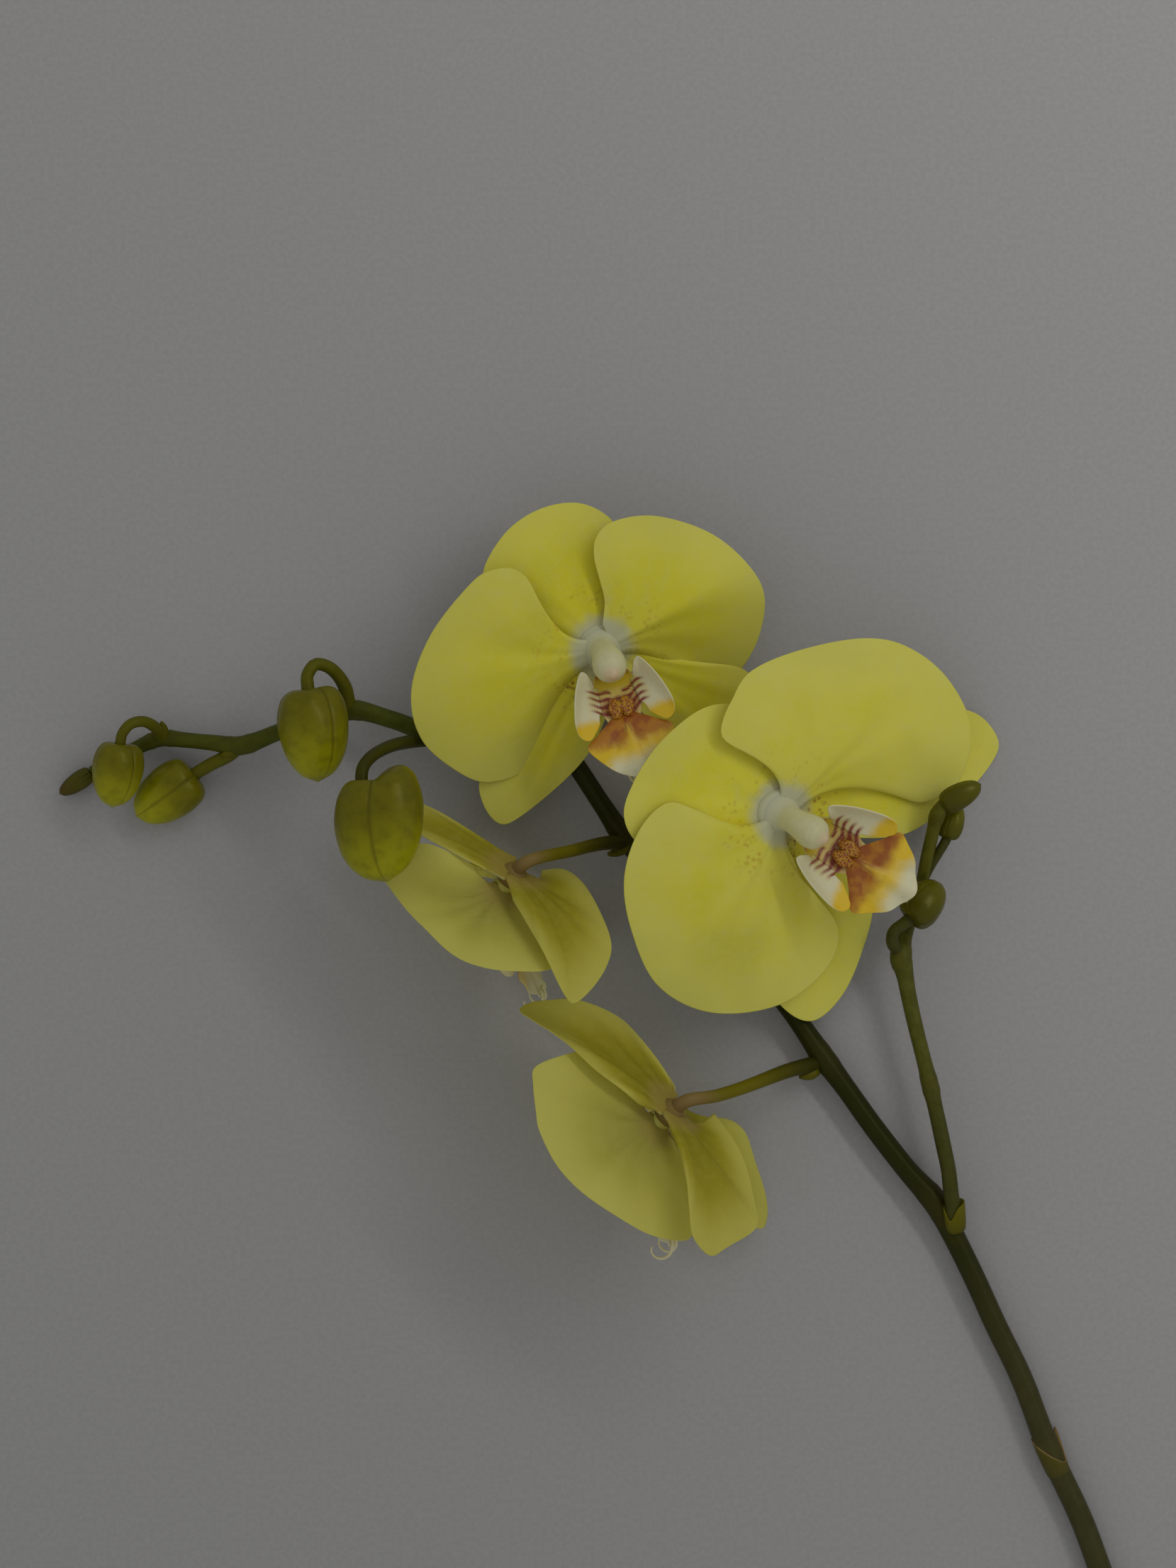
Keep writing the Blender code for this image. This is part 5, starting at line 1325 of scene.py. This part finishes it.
# %% Main stem
STEM_SIDES = 40
STALK_SIDES = 24
STEM_STEP = 1.2 * MM
STALK_STEP = 0.9 * MM
STALK_SHARE = 0.88            # of the plain stalk's radius, as the flower's stalks look
YELLOW_PART = (0.05, 0.6)     # over this share of the way a flower's stalk turns yellow
PINK_PART = (0.62, 0.95)      # and over this one pink
PINKNESS = {True: 0.3, False: 0.9}   # of its end, by whether the flower leans
OLD_PART = (0.20, 0.40)       # over this share of the way the base colour turns into the old green
YOUNG_PART = (0.66, 0.84)     # and over this one that turns into the young green
SCAR = (0.12, 0.5)            # of a bract, beyond its node: height and reach in millimetres
STEM_RIBS = (0.012, 0.008)    # five and nine faint ribs round a stem, as shares of its radius
BRACT_SHAPE = (0.9, 1.0, 0.75, 0.3)   # radii along a bract as shares of its half width
BRACT_MASKS = (0, 0.45, 0.7, 0)
BUD_STALK_MASKS = (0, 0.35, 0.9, 0)
HEART_STALK_MASKS = (0, 0.12, 0.6, 0)
# The knob under a flower: heights in the flower's own frame, radii, where the stalk ends, and how much
# wider the knob is on the flowers that are seen from behind
RECEPTACLE_HEIGHTS = (-3.0, -1.4, 0.4, 1.4)
RECEPTACLE_RADII = (1.6, 2.5, 2.8, 2.2)
RECEPTACLE_MASKS = (0, 1.0, 0, 0.7)
RECEPTACLE_RINGS = 16
RECEPTACLE_ROOT = -1.6
RECEPTACLE_BEHIND = 1.3


def stem_shell(route, radii, swellings, sides, cut=0):
    """A stem along its route, thicker round each swollen node.

    The radius, read along the way, grows at each node by its extra times a bell of the distance, and a
    narrower bell just beyond it makes the scar of the bract. The first mask is 1 near a node, the third
    turns from old to young along the stem, and the fourth marks the cut end.
    """
    points = places(route)
    count = int(round(np.linalg.norm(np.diff(points, axis=0), axis=1).sum() / STEM_STEP))
    path = curve_through(points, count)
    radius = np.interp(np.linspace(0, 1, count + 1), np.linspace(0, 1, len(radii)), radii)
    near = np.zeros(count + 1)
    for landmark, extra, reach in swellings:
        away = np.linalg.norm(path - place(*landmark), axis=1) / MM
        radius = radius + extra * hump(away, 0, reach) + SCAR[0] * hump(away, reach * 0.5, SCAR[1])
        near = np.maximum(near, hump(away, 0, reach * 0.8))
    angles = np.linspace(0, 2 * np.pi, sides, endpoint=False)[None, :]
    ribs = 1 + STEM_RIBS[0] * np.cos(5 * angles) + STEM_RIBS[1] * np.cos(9 * angles + 1.0)
    masks = np.zeros((count + 1, sides, 4))
    masks[..., 0] = near[:, None]
    way = np.linspace(0, 1, count + 1)
    masks[..., 2] = (ease(way, *OLD_PART) + ease(way, *YOUNG_PART))[:, None] / 2
    masks[0, :, 3] = cut
    return ring_shell(rings_along(path, radius[:, None] * MM * ribs, sides), masks)


def sheath_shell(sheath):
    """A scale that wraps a node: a sleeve of rings whose rim slants across the stem.

    The rim's height along the stem is a cosine of the angle plus a narrow bell, its tip. A point of a
    ring lies at the ring's share of the way from the foot to the rim. The dry mask browns the whole
    sleeve and pales its rim and tip.
    """
    before, node, after = places(sheath["along"])
    axis = unit(after - before)
    right = unit(np.cross(axis, (0.0, 0.0, 1.0)))
    above = np.cross(right, axis)
    angle = np.linspace(0, 2 * np.pi, SHEATH_SIDES, endpoint=False)[None, :]
    share, radius = np.array(SHEATH_PROFILE).T[:, :, None]
    level, swing, swing_angle = sheath["rim"]
    tip_height, tip_angle, tip_reach = sheath["tip"]
    tip = hump(np.sin((angle - tip_angle) / 2), 0, tip_reach)
    rim = level + swing * np.cos(angle - swing_angle) + tip_height * tip
    height = (sheath["foot"] + share * (rim - sheath["foot"]))[..., None]
    radius = (radius * sheath["radius"] + sheath["flare"] * share ** 3 * tip)[..., None]
    outward = np.cos(angle)[..., None] * right + np.sin(angle)[..., None] * above
    rings = node + MM * (height * axis + radius * outward)
    yellow, green, dry = sheath["tint"]
    masks = np.zeros((*rings.shape[:2], 4))
    masks[..., 0] = 0.9 * dry
    masks[..., 1] = yellow * (0.4 + 0.6 * share)
    masks[..., 2] = green
    masks[..., 3] = dry * np.clip(ease(share, 0.88, 1.0) + 0.8 * tip * ease(share, 0.3, 0.7), 0, 1)
    return ring_shell(rings, masks)


def plain_stalk(route, radii, masks=(0, 0, 0, 0)):
    """A stalk by its landmarks and its radii in millimetres."""
    return stalk_shell(places(route), np.array(radii) * MM, STALK_SIDES, STALK_STEP, masks)


def flower_stalk(path, radii, pink):
    """A flower's stalk: yellower and then pink towards the flower."""
    radii = np.array(radii) * MM * STALK_SHARE
    points, triangles, uv, masks = stalk_shell(path, radii, STALK_SIDES, STALK_STEP)
    masks[:, 1] = 0.1 + 0.75 * ease(uv[:, 0], *YELLOW_PART)
    masks[:, 2] = 0.5
    masks[:, 3] = pink * ease(uv[:, 0], *PINK_PART)
    return points, triangles, uv, masks


def receptacle(flower, axes):
    """The knob at the end of a flower's stalk: rings along the flower's own axis."""
    axis_points = [(0, 0, height) for height in RECEPTACLE_HEIGHTS]
    path = curve_through(in_flower(flower, axes, axis_points), RECEPTACLE_RINGS)
    places_of_radii = np.linspace(0, 1, len(RECEPTACLE_RADII))
    radius = np.interp(np.linspace(0, 1, RECEPTACLE_RINGS + 1), places_of_radii, RECEPTACLE_RADII) * MM
    radius = radius if flower["leaning"] else RECEPTACLE_BEHIND * radius
    return ring_shell(rings_along(path, radius, STALK_SIDES), RECEPTACLE_MASKS)


def stem_shells():
    """The main stem, its sheaths, the stalks of its flowers and buds, and its bracts."""
    shells = [stem_shell(MAIN_STEM, MAIN_STEM_RADII, STEM_NODES, STEM_SIDES, cut=2)]
    shells += [sheath_shell(sheath) for sheath in SHEATHS]
    for name, (route, radii) in FLOWER_STALKS.items():
        flower = FLOWERS[name]
        axes = flower_frame(flower)
        path = np.vstack([places(route), in_flower(flower, axes, (0, 0, RECEPTACLE_ROOT))])
        shells.append(flower_stalk(path, radii, PINKNESS[flower["leaning"]]))
        shells.append(receptacle(flower, axes))
    for name, (route, radii) in BUD_STALKS.items():
        masks = HEART_STALK_MASKS if name == "bud_heart" else BUD_STALK_MASKS
        shells.append(plain_stalk(route, radii, masks))
    shapes = [(route, np.array(BRACT_SHAPE) * width) for route, width in BRACTS]
    return shells + [plain_stalk(route, radii, BRACT_MASKS) for route, radii in shapes]


make_piece("main_stem_skin", stem_shells(), "main_stem", stem_material)
print("main stem:", len(MAIN_STEM), "landmarks,", len(SHEATHS), "sheaths,", len(BRACTS), "bracts")

# %% Side branch
branch_shells = [stem_shell(SIDE_BRANCH, SIDE_BRANCH_RADII, SIDE_NODES, STALK_SIDES)]
branch_shells += [plain_stalk(route, radii) for route, radii in SIDE_STALKS]
make_piece("side_branch_skin", branch_shells, "side_branch", branch_material)
print("side branch:", len(branch_shells), "shells")

# %% [markdown]
# ## Buds
# A closed bud is three sepals folded over the rest. It is turned from a profile about its axis, wider
# than deep, and its skin dips along the seams where two sepals meet. Turning a profile is the plainest
# way. The large bud's shoulders stand up round its stalk and lean to one side, which makes its heart
# shape.

# %% Landmarks of the buds
# The end at the stalk, the tip, width and depth in millimetres, how far the shoulders rise round the
# stalk and how far they lean to one side, both in millimetres, the angle of the seam that shows, where
# pi / 2 is the middle of the upper side, and how yellow the bud's tip is; at 0 the bud is a young one
BUDS = {
    "bud_heart": ((513, 1108, 38.0), (547, 1244, 38.0), 21.2, 18.0, 2.7, 3.3, 1.80, 1.0),
    "bud_second": ((435, 975, 22.6), (449, 1103, 23.0), 16.8, 15.6, 0.8, 0.0, 0.85, 1.0),
    "bud_third": ((170, 1050, 14.4), (158, 1139, 13.4), 12.2, 11.0, 0.3, 0.0, 0.75, 1.0),
    "bud_fourth": ((274, 1093, 6.3), (192, 1152, 6.1), 13.2, 12.4, 0.3, 0.0, 1.50, 1.0),
    "bud_tip": ((129, 1090, 2.7), (84, 1120, 2.5), 4.6, 4.2, 0.0, 0.0, 1.6, 0.0),
    "side_bud_large": ((1281, 1293, 15.6), (1329, 1247, 13.6), 10.0, 10.0, 0.2, -0.8, 0.85, 0.15),
    "side_bud_small": ((1336, 1183, 11.6), (1352, 1133, 11.6), 6.0, 5.8, 0.0, 0.0, 1.2, 0.25),
    "side_bud_tip": ((1329, 1136, 16.6), (1384, 1106, 17.4), 6.2, 5.6, 0.0, 0.0, 2.4, 0.1)}
BUD_SEAM_DEPTH = 0.032        # as a share of the radius
BUD_SEAM_REACH = 0.025        # half width of a seam, as the sine of half its angle
BUD_DIP = 0.07                # how far the skin curves in towards a seam, as a share of the radius
BUD_DIP_REACH = 0.26
# From stalk to tip: share of the radius, share of the length, and how far it rises with the shoulders
BUD_PROFILE = [(0.10, 0.0, 0.0), (0.24, 0.0, 0.1), (0.50, 0.0, 0.8), (0.76, 0.04, 0.8),
               (0.93, 0.14, 0.5), (1.0, 0.36, 0.1), (0.86, 0.67, 0.0), (0.50, 0.90, 0.0),
               (0.02, 1.0, 0.0)]
BUD_RINGS = 60
BUD_SIDES = 180


# %% Bud finish
def bud_finish():
    """Olive green and glossy, yellow towards the tip, mottled, with dark seams.

    The masks are the yellow, the seams, the brown of the smallest bud's tip and how young the bud is.
    """
    material, tree, shader = new_material("bud_olive")
    position, tip, seam, brown, young = place_and_masks(tree)
    mottle = noise(tree, position, BUD_MOTTLE, MOTTLE_DETAIL)
    colour = layers(
        tree, BUD_OLIVE, (ramp(tree, young, 0.0, 1.0), BUD_YOUNG),
        (times(tree, tip, TIP_TINT), BUD_TIP), (ramp(tree, mottle, *BUD_MOTTLE_RANGE), BUD_DARK),
        (times(tree, seam, SEAM_TINT), BUD_DARK), (brown, BUD_BROWN))
    tree.links.new(colour, shader.inputs["Base Color"])
    gloss(shader, *BUD_GLOSS)
    under_skin(shader, *BUD_GLOW)
    grain = times(tree, noise(tree, position, BUD_GRAIN), BUD_GRAIN_HEIGHT)
    bump(tree, shader, plus(tree, mottle, grain), BUD_RELIEF)
    return material


BUD_MOTTLE = 330.0            # blotches to a metre
BUD_MOTTLE_RANGE = (0.40, 0.75, 0.0, 0.35)   # where it begins and is full, and its shares there
TIP_TINT = 0.9
SEAM_TINT = 0.45
BUD_GLOSS = (0.30, 0.35, (1.0, 0.95, 0.4))
BUD_GLOW = (0.08, (0.8, 1.0, 0.2), 1.0 * MM)
BUD_GRAIN = 2600.0
BUD_GRAIN_HEIGHT = 0.3        # beside that of the mottling
BUD_RELIEF = 0.1 * MM
BUD_OLIVE = (0.165, 0.148, 0.002)
BUD_DARK = (0.070, 0.058, 0.002)
BUD_YOUNG = (0.070, 0.068, 0.003)
BUD_TIP = (0.42, 0.41, 0.005)
BUD_BROWN = (0.075, 0.036, 0.008)
BROWN_UNDER = 5.0             # buds narrower than this, in millimetres, have a brown tip
BROWN_PART = (0.45, 0.9)      # over this share of the length the tip turns brown
BROWNNESS = 0.7
YELLOW_TIP = (0.20, 0.95)     # over this share of the length the bud turns yellow
bud_material = bud_finish()


# %% Buds
def bud_rings(bud):
    """Rings of a bud: the profile's radius times an ellipse, taken in at the seams, along the axis.

    The profile leaves the stalk's end, goes round a shoulder that may stand above it, more at the bud's
    two sides than in front, is widest at a third of the length and closes in a blunt tip. The rings
    shift sideways by the lean times (1 - share of the length) to the power 1.4, but not at the stalk.
    """
    start, tip, width, depth, shoulder, lean, first_seam, yellow = bud
    foot, end = place(*start), place(*tip)
    axis = end - foot
    length = np.linalg.norm(axis)
    axis = unit(axis)
    rise = shoulder * MM / length
    thick, way, lifted = curve_through(BUD_PROFILE, BUD_RINGS).T[:, :, None]
    flat = unit(np.cross((0.0, 0.0, 1.0), axis))
    upright = np.cross(axis, flat)
    angles = np.linspace(0, 2 * np.pi, BUD_SIDES, endpoint=False)
    turns = [np.sin((angles - first_seam - k * 2 * np.pi / 3) / 2) for k in range(3)]
    seams = sum(hump(turn, 0, BUD_SEAM_REACH) for turn in turns)
    dips = sum(hump(turn, 0, BUD_DIP_REACH) for turn in turns)
    shoulders = (0.2 + 0.8 * np.abs(np.cos(angles))) * (1 + 0.2 * np.cos(angles))
    along = way - lifted * rise * shoulders
    deeper = 1 + 1.6 * np.clip(1 - along / 0.35, 0, 1) ** 2
    reach = (1 - deeper * (BUD_SEAM_DEPTH * seams + BUD_DIP * dips))[..., None]
    wide = (width / 2 * MM * np.cos(angles))[:, None] * reach * flat
    tall = (depth / 2 * MM * np.sin(angles))[:, None] * reach * upright
    sideways = lean * MM * (1 - np.clip(along, 0, 1)) ** 1.4 * ease(thick, 0.15, 0.6)
    centre = foot + along[..., None] * length * axis + sideways[..., None] * flat
    rings = centre + thick[..., None] * (wide + tall)
    masks = np.zeros((*rings.shape[:2], 4))
    masks[..., 0] = yellow * ease(along, *YELLOW_TIP)
    masks[..., 1] = seams[None, :]
    masks[..., 2] = BROWNNESS * (width < BROWN_UNDER) * ease(along, *BROWN_PART)
    masks[..., 3] = 1 - yellow
    return rings, masks


for name, bud in BUDS.items():
    rings, masks = bud_rings(bud)
    make_piece(f"{name}_sepals", [ring_shell(rings, masks)], name, bud_material)
print("buds:", len(BUDS))
